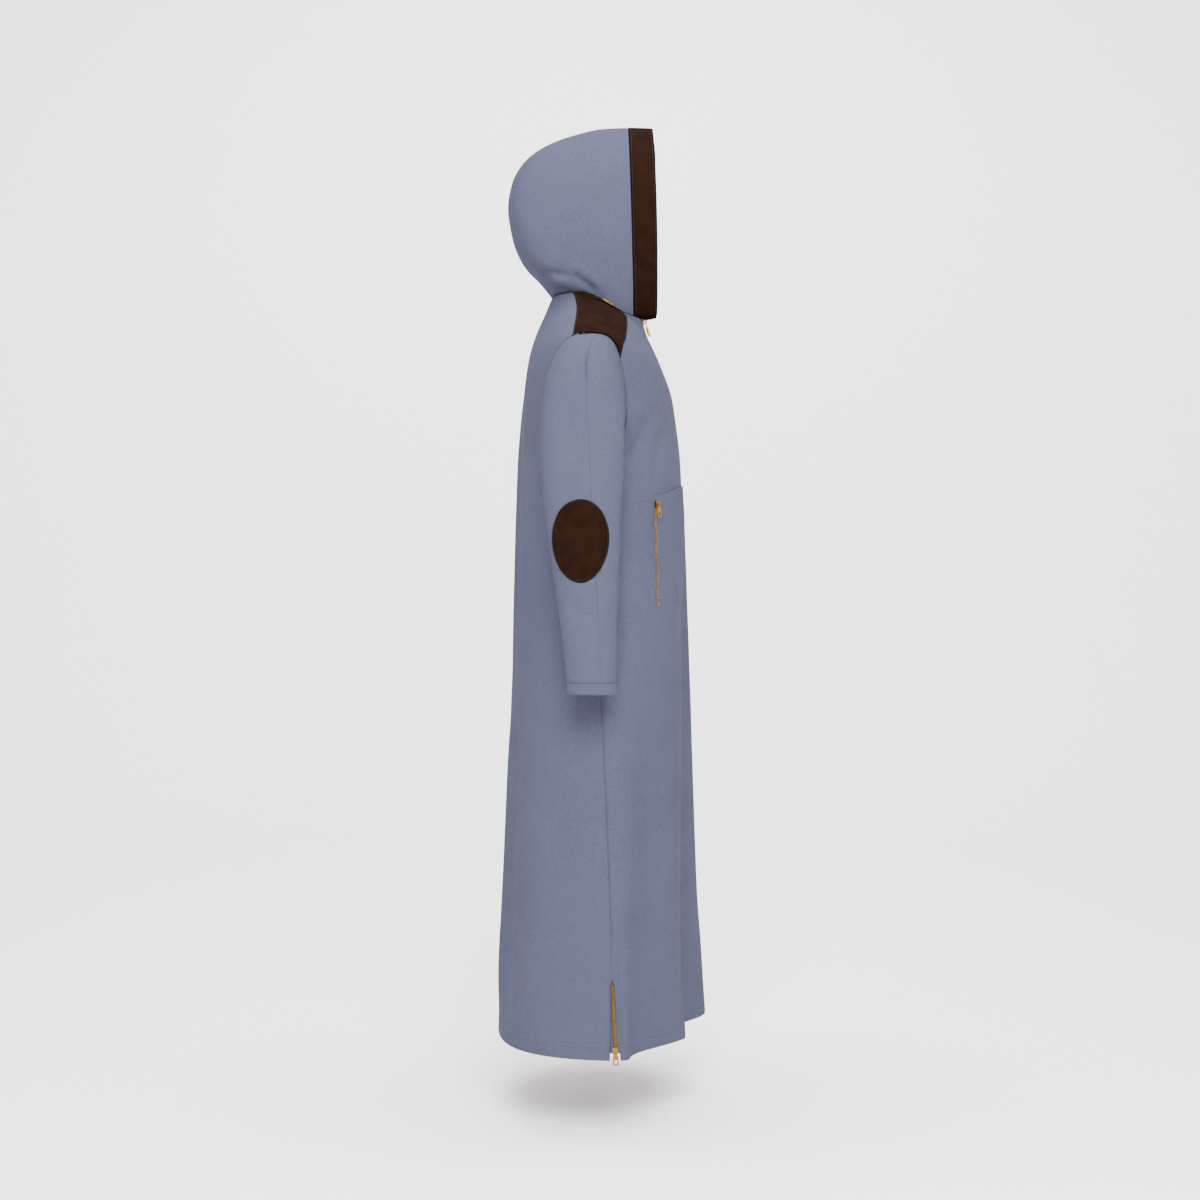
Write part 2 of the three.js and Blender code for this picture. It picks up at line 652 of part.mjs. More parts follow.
function buildHoodBand() {
  const geometry = clothPiece({
    surface: (share, back) => {
      const point = hoodPoint(1 - Math.abs(share), back);
      point.x *= Math.sign(share) || 1;
      const { at, reach, forward } = BAND.leftEdge;
      point.y -= forward * hill(share, at, reach) * (1 - back / BAND.end);
      return point;
    },
    us: spread(-1, 1, 28),
    vs: [0, BAND.end / 2, BAND.end],
    inside: inHood,
    wall: BAND_WALL,
    proud: BAND.proud,
    trim: { uStart: SEAM_GAP, uEnd: SEAM_GAP, vStart: 0 },
  });
  addPiece("hood_band", geometry, BROWN);
}

const ring = columnsOf(SLEEVE_RINGS, "along", ["outerX", "outerUp", "innerX", "innerUp", "back", "front"]);

// Sleeve of the wearer's left side: angle from the outer line, back positive and front negative
function ringPoint(angle, along) {
  const cosine = Math.cos(degrees(angle));
  const sine = Math.sin(degrees(angle));
  const middle = (ring.back(along) + ring.front(along)) / 2;
  const half = (ring.back(along) - ring.front(along)) / 2;
  const share = (1 + cosine) / 2;
  const across = mix(ring.innerX(along), ring.outerX(along), share);
  const up = mix(ring.innerUp(along), ring.outerUp(along), share);
  return new THREE.Vector3(across, middle + half * sine, up);
}

// The same with the sleeve's head drawn onto the armhole
function sleevePoint(angle, along) {
  const point = ringPoint(angle, along);
  const share = (1 + Math.cos(degrees(angle))) / 2;
  const ease = 1 - smooth(0, mix(SLEEVE_BLEND.armpit, SLEEVE_BLEND.top, share), along);
  if (ease === 0) return point;
  return point.addScaledVector(armhole(angle).sub(ringPoint(angle, 0)), ease);
}

function outerSeamAngle(along) {
  return mix(OUTER_SEAM.top, OUTER_SEAM.cuff, clamp(along, 0, 1) ** 2);
}

const inSleeve = new THREE.Vector3(270, 25, -380);

function mirrored(point, sign) {
  return new THREE.Vector3(point.x * sign, point.y, point.z);
}

function buildSleeves() {
  const shares = [0, 0.12, 0.24, 0.36, 0.48, 0.6, 0.7, 0.78, 0.85, 0.93, 1];
  const alongs = [0, 0.05, 0.12, 0.19, 0.27, 0.36, 0.45, 0.54, 0.63, 0.72, 0.81, 0.9, 1];
  for (const [name, sign] of Object.entries(SIDES)) {
    for (const [part, last] of [["back", 180], ["front", -180]]) {
      const geometry = clothPiece({
        surface: (share, along) => mirrored(sleevePoint(mix(outerSeamAngle(along), last, share), along), sign),
        us: shares,
        vs: alongs,
        inside: mirrored(inSleeve, sign),
        trim: { vStart: SLEEVE_TRIM },
      });
      addPiece("sleeve_" + part + "_" + name, geometry, SLATE);
    }
  }
}

// Cuff: a closed ring past the sleeve's end, a little fuller than the sleeve
function buildCuffs() {
  const { sides } = CUFF;
  for (const [name, sign] of Object.entries(SIDES)) {
    const points = [];
    const down = sleeveDirection();
    for (const [drop, inset] of [[SEAM_GAP, 0], [CUFF.depth, 0], [CUFF.depth, CLOTH_WALL], [SEAM_GAP, CLOTH_WALL]]) {
      for (let i = 0; i < sides; i += 1) {
        const angle = (i / sides) * 360;
        const out = new THREE.Vector3(Math.cos(degrees(angle)), Math.sin(degrees(angle)), 0);
        const point = sleevePoint(angle, 1).addScaledVector(down, drop);
        points.push(mirrored(point.addScaledVector(out, CUFF.proud - inset), sign));
      }
    }
    const triangles = [];
    for (let ringIndex = 0; ringIndex < 4; ringIndex += 1) {
      const next = (ringIndex + 1) % 4;
      for (let i = 0; i < sides; i += 1) {
        const j = (i + 1) % sides;
        const [a, b] = [ringIndex * sides + i, ringIndex * sides + j];
        const [c, d] = [next * sides + i, next * sides + j];
        triangles.push([a, b, d], [a, d, c]);
      }
    }
    addPiece("cuff_" + name, closedGeometry(points, triangles), SLATE);
  }
}

// Direction in which the sleeve leaves its last ring
function sleeveDirection() {
  const before = sleevePoint(0, 0.97).add(sleevePoint(180, 0.97));
  const last = sleevePoint(0, 1).add(sleevePoint(180, 1));
  return last.sub(before).normalize();
}

function quadratic(start, middle, end, at) {
  const control = 2 * middle - (start + end) / 2;
  return (1 - at) ** 2 * start + 2 * at * (1 - at) * control + at ** 2 * end;
}

// Shoulder patch: across runs from its back edge (0) to its front edge (1), along from neck to armhole
function patchPoint(across, along) {
  const angle = mix(SHOULDER_PATCH.armhole.backAngle, SHOULDER_PATCH.armhole.frontAngle, across);
  const lastLevel = 1 + Math.abs(angle) / 180;
  const backCorner = armhole(SHOULDER_PATCH.armhole.backAngle).y;
  const frontCorner = armhole(SHOULDER_PATCH.armhole.frontAngle).y;
  const backEdge = quadratic(SHOULDER_PATCH.neck.back, SHOULDER_PATCH.middle.back, backCorner, along);
  const frontEdge = quadratic(SHOULDER_PATCH.neck.front, SHOULDER_PATCH.middle.front, frontCorner, along);
  const straight = mix(backCorner, frontCorner, across);
  const forward = mix(backEdge, frontEdge, across) + along ** 3 * (armhole(angle).y - straight);
  return shoulderPoint(forward, mix(SHOULDER_PATCH.neck.level, lastLevel, along));
}

const inShoulder = new THREE.Vector3(120, 10, -150);

function buildShoulderPatches() {
  for (const [name, sign] of Object.entries(SIDES)) {
    const geometry = clothPiece({
      surface: (across, along) => mirrored(patchPoint(across, along), sign),
      us: spread(0, 1, 10),
      vs: spread(0, 1, 10),
      inside: mirrored(inShoulder, sign),
      wall: PATCH_WALL,
      proud: PATCH_WALL + PATCH_LIFT,
      trim: { uStart: 0, uEnd: 0, vStart: 0, vEnd: SEAM_GAP },
    });
    addPiece("shoulder_patch_" + name, geometry, BROWN);
  }
}

// Shoulder tab: a strip on the patch beside the neck seam
function buildShoulderTabs() {
  const lift = PATCH_WALL + PATCH_LIFT + SEAM_GAP;
  for (const [name, sign] of Object.entries(SIDES)) {
    const geometry = clothPiece({
      surface: (forward, along) => mirrored(shoulderPoint(forward, along), sign),
      us: spread(SHOULDER_TAB.front, SHOULDER_TAB.back, 8),
      vs: [SHOULDER_TAB.level - SHOULDER_TAB.halfWidth, SHOULDER_TAB.level + SHOULDER_TAB.halfWidth],
      inside: mirrored(inShoulder, sign),
      wall: TAB_WALL,
      proud: lift + TAB_WALL,
      trim: { uStart: 0, uEnd: 0, vStart: 0, vEnd: 0 },
    });
    addPiece("shoulder_tab_" + name, geometry, BROWN);
  }
}

// Right-handed axes at a place on the cloth: x across the strip, y out of the cloth, z up the strip
function seat(origin, upward, outward) {
  const z = upward.clone().normalize();
  const y = outward.clone().addScaledVector(z, -outward.dot(z)).normalize();
  const x = y.clone().cross(z);
  return new THREE.Matrix4().makeBasis(x, y, z).setPosition(origin);
}

function addSeated(name, geometry, matrix, finish) {
  const mesh = addPiece(name, geometry, finish);
  mesh.applyMatrix4(matrix);
  return mesh;
}

// A bar with round ends, lying in the plane of x and z and rising along y
function roundEndedBar(length, width, thickness) {
  const radius = width / 2;
  const straight = length / 2 - radius;
  const outline = new THREE.Shape();
  outline.absarc(0, straight, radius, 0, Math.PI);
  outline.absarc(0, -straight, radius, Math.PI, 2 * Math.PI);
  const geometry = new THREE.ExtrudeGeometry(outline, {
    depth: thickness,
    bevelEnabled: false,
    curveSegments: 6,
  });
  return geometry.rotateX(-Math.PI / 2);
}

function buildShoulderBars() {
  const step = 0.5;
  const { forward, level: at } = SHOULDER_BAR;
  for (const [name, sign] of Object.entries(SIDES)) {
    const here = mirrored(shoulderPoint(forward, at), sign);
    const ahead = mirrored(shoulderPoint(forward - step, at), sign);
    const behind = mirrored(shoulderPoint(forward + step, at), sign);
    const outwards = mirrored(shoulderPoint(forward, at + 0.02), sign);
    const inwards = mirrored(shoulderPoint(forward, at - 0.02), sign);
    const along = behind.sub(ahead);
    const normal = along.clone().cross(outwards.sub(inwards));
    normal.multiplyScalar(Math.sign(normal.z));
    const bed = PATCH_WALL + TAB_WALL + 3 * SEAM_GAP + SHOULDER_BAR.lift;
    const matrix = seat(here, along, normal);
    const bar = roundEndedBar(SHOULDER_BAR.length, SHOULDER_BAR.width, SHOULDER_BAR.thickness);
    addSeated("shoulder_bar_" + name, bar.translate(0, bed, 0), matrix, GOLD);
  }
}

// Elbow patch: sleeve surface found from how far forward and how high a point lies
function sleeveAt(forward, up) {
  let along = 0.72;
  let angle = 0;
  for (let i = 0; i < 12; i += 1) {
    const middle = (ring.back(along) + ring.front(along)) / 2;
    const half = (ring.back(along) - ring.front(along)) / 2;
    angle = THREE.MathUtils.radToDeg(Math.asin(clamp((forward - middle) / half, -0.99, 0.99)));
    const here = sleevePoint(angle, along).z;
    const slope = (sleevePoint(angle, along + 0.01).z - here) / 0.01;
    along += (up - here) / slope;
  }
  return sleevePoint(angle, along);
}

// A square of two shares from -1 to 1 laid out as an egg, narrower at its lower end
function eggPoint(s, t) {
  const x = s * Math.sqrt(1 - (t * t) / 2);
  const y = t * Math.sqrt(1 - (s * s) / 2);
  const width = ELBOW_PATCH.halfWidth * (1 + ELBOW_PATCH.narrowing * y);
  return sleeveAt(ELBOW_PATCH.forward + width * x, ELBOW_PATCH.up + ELBOW_PATCH.halfHeight * y);
}

function buildElbowPatches() {
  for (const [name, sign] of Object.entries(SIDES)) {
    const geometry = clothPiece({
      surface: (s, t) => mirrored(eggPoint(s, t), sign),
      us: spread(-1, 1, 8),
      vs: spread(-1, 1, 8),
      inside: mirrored(inSleeve, sign),
      wall: PATCH_WALL,
      proud: PATCH_WALL + ELBOW_PATCH.lift,
      trim: { uStart: 0, uEnd: 0, vStart: 0, vEnd: 0 },
    });
    addPiece("elbow_patch_" + name, geometry, BROWN);
  }
}

// Slider with its bail: a block on the teeth, and a loop that holds the pull's crossbar
function sliderGeometry() {
  const block = new THREE.BoxGeometry(SLIDER.width, SLIDER.thickness, SLIDER.length);
  block.translate(0, SLIDER.thickness / 2, 0);
  const loop = new THREE.Shape();
  loop.moveTo(-BAIL.reach, -0.5);
  loop.lineTo(-BAIL.reach, BAIL.pivotHeight + BAIL.rise - 1.2);
  loop.lineTo(-BAIL.reach + 1.2, BAIL.pivotHeight + BAIL.rise);
  loop.lineTo(BAIL.reach - 1.2, BAIL.pivotHeight + BAIL.rise);
  loop.lineTo(BAIL.reach, BAIL.pivotHeight + BAIL.rise - 1.2);
  loop.lineTo(BAIL.reach, -0.5);
  const room = new THREE.Path();
  const inner = BAIL.reach - BAIL.wire;
  room.moveTo(-inner, 0.4);
  room.lineTo(inner, 0.4);
  room.lineTo(inner, BAIL.pivotHeight + BAIL.rise - BAIL.wire);
  room.lineTo(-inner, BAIL.pivotHeight + BAIL.rise - BAIL.wire);
  loop.holes.push(room);
  const wire = new THREE.ExtrudeGeometry(loop, { depth: BAIL.width, bevelEnabled: false });
  wire.translate(0, SLIDER.thickness, -BAIL.width / 2);
  wire.rotateY(Math.PI / 2);
  return geometryOf(solidOf(block).add(solidOf(wire)));
}

// Flat pull hanging from its crossbar, which lies on the x axis at the origin
function pullGeometry() {
  const half = PULL.width / 2;
  const corner = 1.8;
  const outline = new THREE.Shape();
  outline.moveTo(-2.9, PULL.neck);
  outline.lineTo(2.9, PULL.neck);
  outline.lineTo(2.9, -PULL.eye - 1.2);
  outline.lineTo(half, -PULL.eye - 3.2);
  outline.lineTo(half, corner - PULL.length);
  outline.lineTo(half - corner, -PULL.length);
  outline.lineTo(corner - half, -PULL.length);
  outline.lineTo(-half, corner - PULL.length);
  outline.lineTo(-half, -PULL.eye - 3.2);
  outline.lineTo(-2.9, -PULL.eye - 1.2);
  const eye = new THREE.Path();
  eye.moveTo(-1.6, -PULL.neck);
  eye.lineTo(-1.6, -PULL.eye);
  eye.lineTo(1.6, -PULL.eye);
  eye.lineTo(1.6, -PULL.neck);
  const window = new THREE.Path();
  const bottom = -PULL.length + 2.6;
  window.moveTo(-PULL.hole / 2, bottom);
  window.lineTo(PULL.hole / 2, bottom);
  window.lineTo(PULL.hole / 2, bottom + PULL.holeLength);
  window.lineTo(-PULL.hole / 2, bottom + PULL.holeLength);
  outline.holes.push(eye, window);
  const plate = new THREE.ExtrudeGeometry(outline, { depth: PULL.thickness, bevelEnabled: false });
  plate.rotateX(Math.PI / 2);
  plate.translate(0, PULL.thickness / 2, 0);
  return geometryOf(solidOf(plate));
}

// Leaf-shaped pull: its leaf is seen from the side, and it is pointed at its lower end
function leafPullGeometry() {
  const outline = new THREE.Shape();
  outline.moveTo(-LEAF_PULL.halfNeck, PULL.neck);
  outline.lineTo(LEAF_PULL.halfNeck, PULL.neck);
  outline.lineTo(LEAF_PULL.halfNeck, -PULL.eye - 0.4);
  outline.bezierCurveTo(LEAF_PULL.front * 0.6, -9, LEAF_PULL.front, -13, LEAF_PULL.front, -18);
  outline.bezierCurveTo(LEAF_PULL.front, -23, LEAF_PULL.front * 0.7, -27, LEAF_PULL.tip, -LEAF_PULL.length);
  outline.lineTo(-LEAF_PULL.tip, -LEAF_PULL.length);
  outline.bezierCurveTo(-LEAF_PULL.back * 0.8, -28, -LEAF_PULL.back, -23, -LEAF_PULL.back, -18);
  outline.bezierCurveTo(-LEAF_PULL.back, -14, -LEAF_PULL.back * 0.6, -10, -LEAF_PULL.halfNeck, -8);
  const leaf = new THREE.ExtrudeGeometry(outline, {
    depth: LEAF_PULL.width,
    bevelEnabled: false,
    curveSegments: 6,
  });
  leaf.translate(0, 0, -LEAF_PULL.width / 2);
  leaf.rotateX(Math.PI / 2);
  leaf.rotateZ(Math.PI / 2);
  const eye = new THREE.BoxGeometry(3.2, 12, PULL.eye - PULL.neck);
  eye.translate(0, 0, -(PULL.eye + PULL.neck) / 2);
  return geometryOf(solidOf(leaf).subtract(solidOf(eye)));
}

// Slider and pull at a place on the cloth; the matrix has its z axis up the zip
function addSliderAndPull(name, matrix, height, pull) {
  const slider = sliderGeometry().translate(0, height, 0);
  addSeated(name + "_slider", slider, matrix, GOLD);
  const pivot = height + SLIDER.thickness + BAIL.pivotHeight;
  addSeated(name + "_pull", pull.translate(0, pivot, 0), matrix, GOLD);
}

// The matrix of a slider on a strip that runs down a surface
function seatOn(surface, at, sign, inside) {
  const step = 2e-3;
  const here = mirrored(surface(0, at), sign);
  const upper = mirrored(surface(0, at - step), sign);
  const lower = mirrored(surface(0, at + step), sign);
  const beside = mirrored(surface(1, at), sign);
  const upward = upper.sub(lower);
  const outward = upward.clone().cross(beside.sub(here));
  const facing = outward.dot(here.clone().sub(mirrored(inside, sign)));
  return seat(here, upward, outward.multiplyScalar(Math.sign(facing)));
}

// Front zip: a strip between the two fronts, from the neckline to the waist seam
function frontZipSurface(offset, at) {
  const middleLine = centreOf(at, false);
  return new THREE.Vector3(offset, middleLine.forward, middleLine.up);
}

function buildFrontZip() {
  const half = FRONT_ZIP.width / 2;
  const geometry = clothPiece({
    surface: frontZipSurface,
    us: [-half, half],
    vs: [0, 0.25, 0.5, 0.75, 1, 1.3, 1.65, 2, WAIST_LEVEL],
    inside: inBody,
    wall: FRONT_ZIP.thickness,
    proud: 0.4,
    trim: { uStart: 0, uEnd: 0, vStart: 0, vEnd: 1.2 },
  });
  addPiece("front_zip", geometry, GOLD);
  const matrix = seatOn(frontZipSurface, FRONT_ZIP.seatLevel, 1, inBody);
  addSliderAndPull("front", matrix, 0.4 + SEAM_GAP, leafPullGeometry());
}

// Pocket zips: a strip on the front skirt under the waist seam
function pocketLevel(up) {
  const angle = POCKET_ZIP.angle / 90;
  let at = levelAt(up);
  for (let i = 0; i < 8; i += 1) at += (skirtPoint(angle, at).z - up) / (ARMPIT_UP - HEM_UP);
  return at;
}

function buildPocketZips() {
  const middle = POCKET_ZIP.angle / 90;
  const levels = [pocketLevel(POCKET_ZIP.topUp), pocketLevel(POCKET_ZIP.bottomUp)];
  for (const [name, sign] of Object.entries(SIDES)) {
    const strip = (offset, at) => {
      const here = skirtPoint(sign * middle, at);
      const beside = skirtPoint(sign * (middle + 0.01), at);
      return skirtPoint(sign * (middle + (0.01 * offset) / here.distanceTo(beside)), at);
    };
    const geometry = clothPiece({
      surface: strip,
      us: [-POCKET_ZIP.width / 2, 0, POCKET_ZIP.width / 2],
      vs: spread(levels[0], levels[1], 8),
      inside: inBody,
      wall: POCKET_ZIP.thickness,
      proud: POCKET_ZIP.thickness + SEAM_GAP,
      trim: { uStart: 0, uEnd: 0, vStart: 0, vEnd: 0 },
    });
    addPiece("pocket_zip_" + name, geometry, GOLD);
    const matrix = seatOn(strip, pocketLevel(POCKET_ZIP.topUp - 8), 1, inBody);
    const height = POCKET_ZIP.thickness + 2 * SEAM_GAP + 0.2;
    addSliderAndPull("pocket_" + name, matrix, height, pullGeometry());
  }
}

// Side zips: a strip in the opening of the side seam, from its top to the hem
function sideZipSurface(offset, at) {
  const up = mix(ARMPIT_UP, HEM_UP, at - 2);
  return new THREE.Vector3(side.across(up), side.forward(up) + offset * SIDE_ZIP.fill * sideZipWidth(up), up);
}

function buildSideZips() {
  const levels = spread(levelAt(SIDE_ZIP.topUp - 2), levelAt(SIDE_ZIP.bottomUp), 6);
  for (const [name, sign] of Object.entries(SIDES)) {
    const geometry = clothPiece({
      surface: (offset, at) => mirrored(sideZipSurface(offset, at), sign),
      us: [-0.5, 0, 0.5],
      vs: levels,
      inside: inBody,
      wall: SIDE_ZIP.thickness,
      proud: 0.2,
      trim: { uStart: 0, uEnd: 0, vStart: 0, vEnd: 0 },
    });
    addPiece("side_zip_" + name, geometry, GOLD);
    const matrix = seatOn(sideZipSurface, levelAt(SIDE_ZIP.bottomUp + 5), sign, inBody);
    addSliderAndPull("side_" + name, matrix, 0.2 + SEAM_GAP, pullGeometry());
  }
}

buildBack();
buildFrontTops();
buildFrontSkirt();
buildHood();
buildHoodBand();
buildSleeves();
buildCuffs();
buildShoulderPatches();
buildShoulderTabs();
buildShoulderBars();
buildElbowPatches();
buildFrontZip();
buildPocketZips();
buildSideZips();

export default garment;
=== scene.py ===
"""A hooded thobe of slate cloth, dressed on the frame of its solids.

The frame is in metres with +Z up; the wearer faces -Y and the wearer's right
side is -X. Shapes are worked out in millimetres and written in metres.
"""

import logging
import math
from dataclasses import dataclass, field
from enum import Enum
from typing import Callable, Sequence

import bmesh
import bpy
import numpy as np
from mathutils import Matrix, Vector


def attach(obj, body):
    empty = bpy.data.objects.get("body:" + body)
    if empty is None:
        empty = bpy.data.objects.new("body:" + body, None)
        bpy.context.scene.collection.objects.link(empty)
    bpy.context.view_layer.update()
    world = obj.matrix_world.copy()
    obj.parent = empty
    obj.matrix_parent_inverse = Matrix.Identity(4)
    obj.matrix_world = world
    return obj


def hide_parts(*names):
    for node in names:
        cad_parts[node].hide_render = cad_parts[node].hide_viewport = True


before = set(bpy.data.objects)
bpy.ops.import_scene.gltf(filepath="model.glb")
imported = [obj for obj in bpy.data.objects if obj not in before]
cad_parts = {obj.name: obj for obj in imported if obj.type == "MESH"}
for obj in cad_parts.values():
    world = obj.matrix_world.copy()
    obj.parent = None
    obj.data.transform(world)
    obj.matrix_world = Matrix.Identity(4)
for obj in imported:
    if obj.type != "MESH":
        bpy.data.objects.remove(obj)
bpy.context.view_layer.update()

log = logging.getLogger("thobe")
Array = np.ndarray
Surface = Callable[[Array, Array], Array]

MM = 0.001
BODY = "garment"

# Cloth, seams and lengths, as in the solids
CLOTH_WALL = 2.0
BAND_WALL = 3.0
PATCH_WALL = 1.6
PATCH_LIFT = 1.0
TAB_WALL = 1.8
SEAM_GAP = 0.3
CLOSE = 0.05
ROLL = 0.6
SLEEVE_TRIM = 0.4
ARMPIT_UP = -330.0
WAIST_SIDE_UP = -410.0
WAIST_FRONT_UP = -357.0
HEM_UP = -1360.0
NECK_EASE = 0.6
HEM_TURNING = 20.0

# Copies of hard nodes: distance in metres within which points are one, angles in degrees
MERGE_DISTANCE = 2e-5
FLAT_ANGLE = 1.0
SHARP_ANGLE = 32.0
ROUNDING_STEPS = 2


class Side(Enum):
    """A side of the wearer."""

    RIGHT = -1
    LEFT = 1

    @property
    def word(self) -> str:
        """The side's name in the frame's nodes."""
        return self.name.lower()


class Slot(Enum):
    """A material slot of the record."""

    CLOTH = "slate_cloth"
    SUEDE = "brown_suede"
    METAL = "gold_metal"



def mix(start: Array, end: Array, share: Array) -> Array:
    """The value a share of the way from start to end."""
    return start + (end - start) * share


def smooth(start: float, end: float, at: Array) -> Array:
    """0 before start, 1 after end, and 3t^2 - 2t^3 between."""
    t = np.clip((np.asarray(at, float) - start) / (end - start), 0, 1)
    return t * t * (3 - 2 * t)


def hill(at: Array, middle: Array, reach: Array) -> Array:
    """A soft hill: the squared cosine of a quarter turn over the reach."""
    away = np.minimum(np.abs(at - middle) / reach, 1)
    return np.cos(away * math.pi / 2) ** 2


def vector(x: Array, y: Array, z: Array) -> Array:
    """Points from their three coordinates."""
    return np.stack(np.broadcast_arrays(x, y, z), -1).astype(float)


def unit(vectors: Array) -> Array:
    """The same directions with a length of 1."""
    return vectors / np.maximum(np.linalg.norm(vectors, axis=-1, keepdims=True), 1e-12)


def sided(points: Array, side: Side) -> Array:
    """Points of the left side, taken to the side asked for."""
    return points * np.array([side.value, 1.0, 1.0])


def spaced(
    start: float, end: float, length: float, step: float, edges: Sequence[float] = (1.0, 2.2, 4.0)
) -> Array:
    """Places along a parameter, even but for extra ones near both ends.

    Args:
        start: the parameter's first value.
        end: its last value.
        length: the length of the cloth between them.
        step: the spacing of the even places.
        edges: how far from each end the extra places are.

    Returns:
        The places in order.
    """
    reach = max(edges) if edges else 0
    count = max(int(round((length - 2 * reach) / step)), 1)
    even = np.linspace(reach, length - reach, count + 1)
    near = np.array([0, *edges[:-1]]) if edges else np.array([])
    places = np.unique(np.concatenate([near, even, length - near]))
    return start + (end - start) * places / length


class Column:
    """A smooth function through the points of a table: cubic pieces that never overshoot."""

    def __init__(self, places: Sequence[float], values: Sequence[float]) -> None:
        """Works out the slopes at the table's points.

        The slope at a point is the harmonic mean of the slopes on both sides,
        or 0 where they differ in sign. An end point takes its only slope.

        Args:
            places: where the values stand.
            values: the values.
        """
        order = np.argsort(places)
        self.places = np.asarray(places, float)[order]
        self.values = np.asarray(values, float)[order]
        slopes = np.diff(self.values) / np.diff(self.places)
        product = slopes[:-1] * slopes[1:]
        total = slopes[:-1] + slopes[1:]
        inner = np.where(product > 0, 2 * product / np.where(total == 0, 1, total), 0.0)
        self.slopes = np.concatenate([slopes[:1], inner, slopes[-1:]])

    def __call__(self, at: Array) -> Array:
        """The value at each place, held at the table's ends."""
        at = np.clip(at, self.places[0], self.places[-1])
        i = np.clip(np.searchsorted(self.places, at) - 1, 0, len(self.places) - 2)
        step = self.places[i + 1] - self.places[i]
        t = (at - self.places[i]) / step
        kept = (1 + 2 * t) * (1 - t) ** 2 * self.values[i] + t * t * (3 - 2 * t) * self.values[i + 1]
        bent = t * (1 - t) ** 2 * self.slopes[i] + t * t * (t - 1) * self.slopes[i + 1]
        return kept + bent * step


def columns(rows: Sequence[Sequence[float]]) -> list[Column]:
    """One column function for each value of a table whose rows start with the place."""
    table = np.asarray(rows, float)
    return [Column(table[:, 0], table[:, n]) for n in range(1, table.shape[1])]



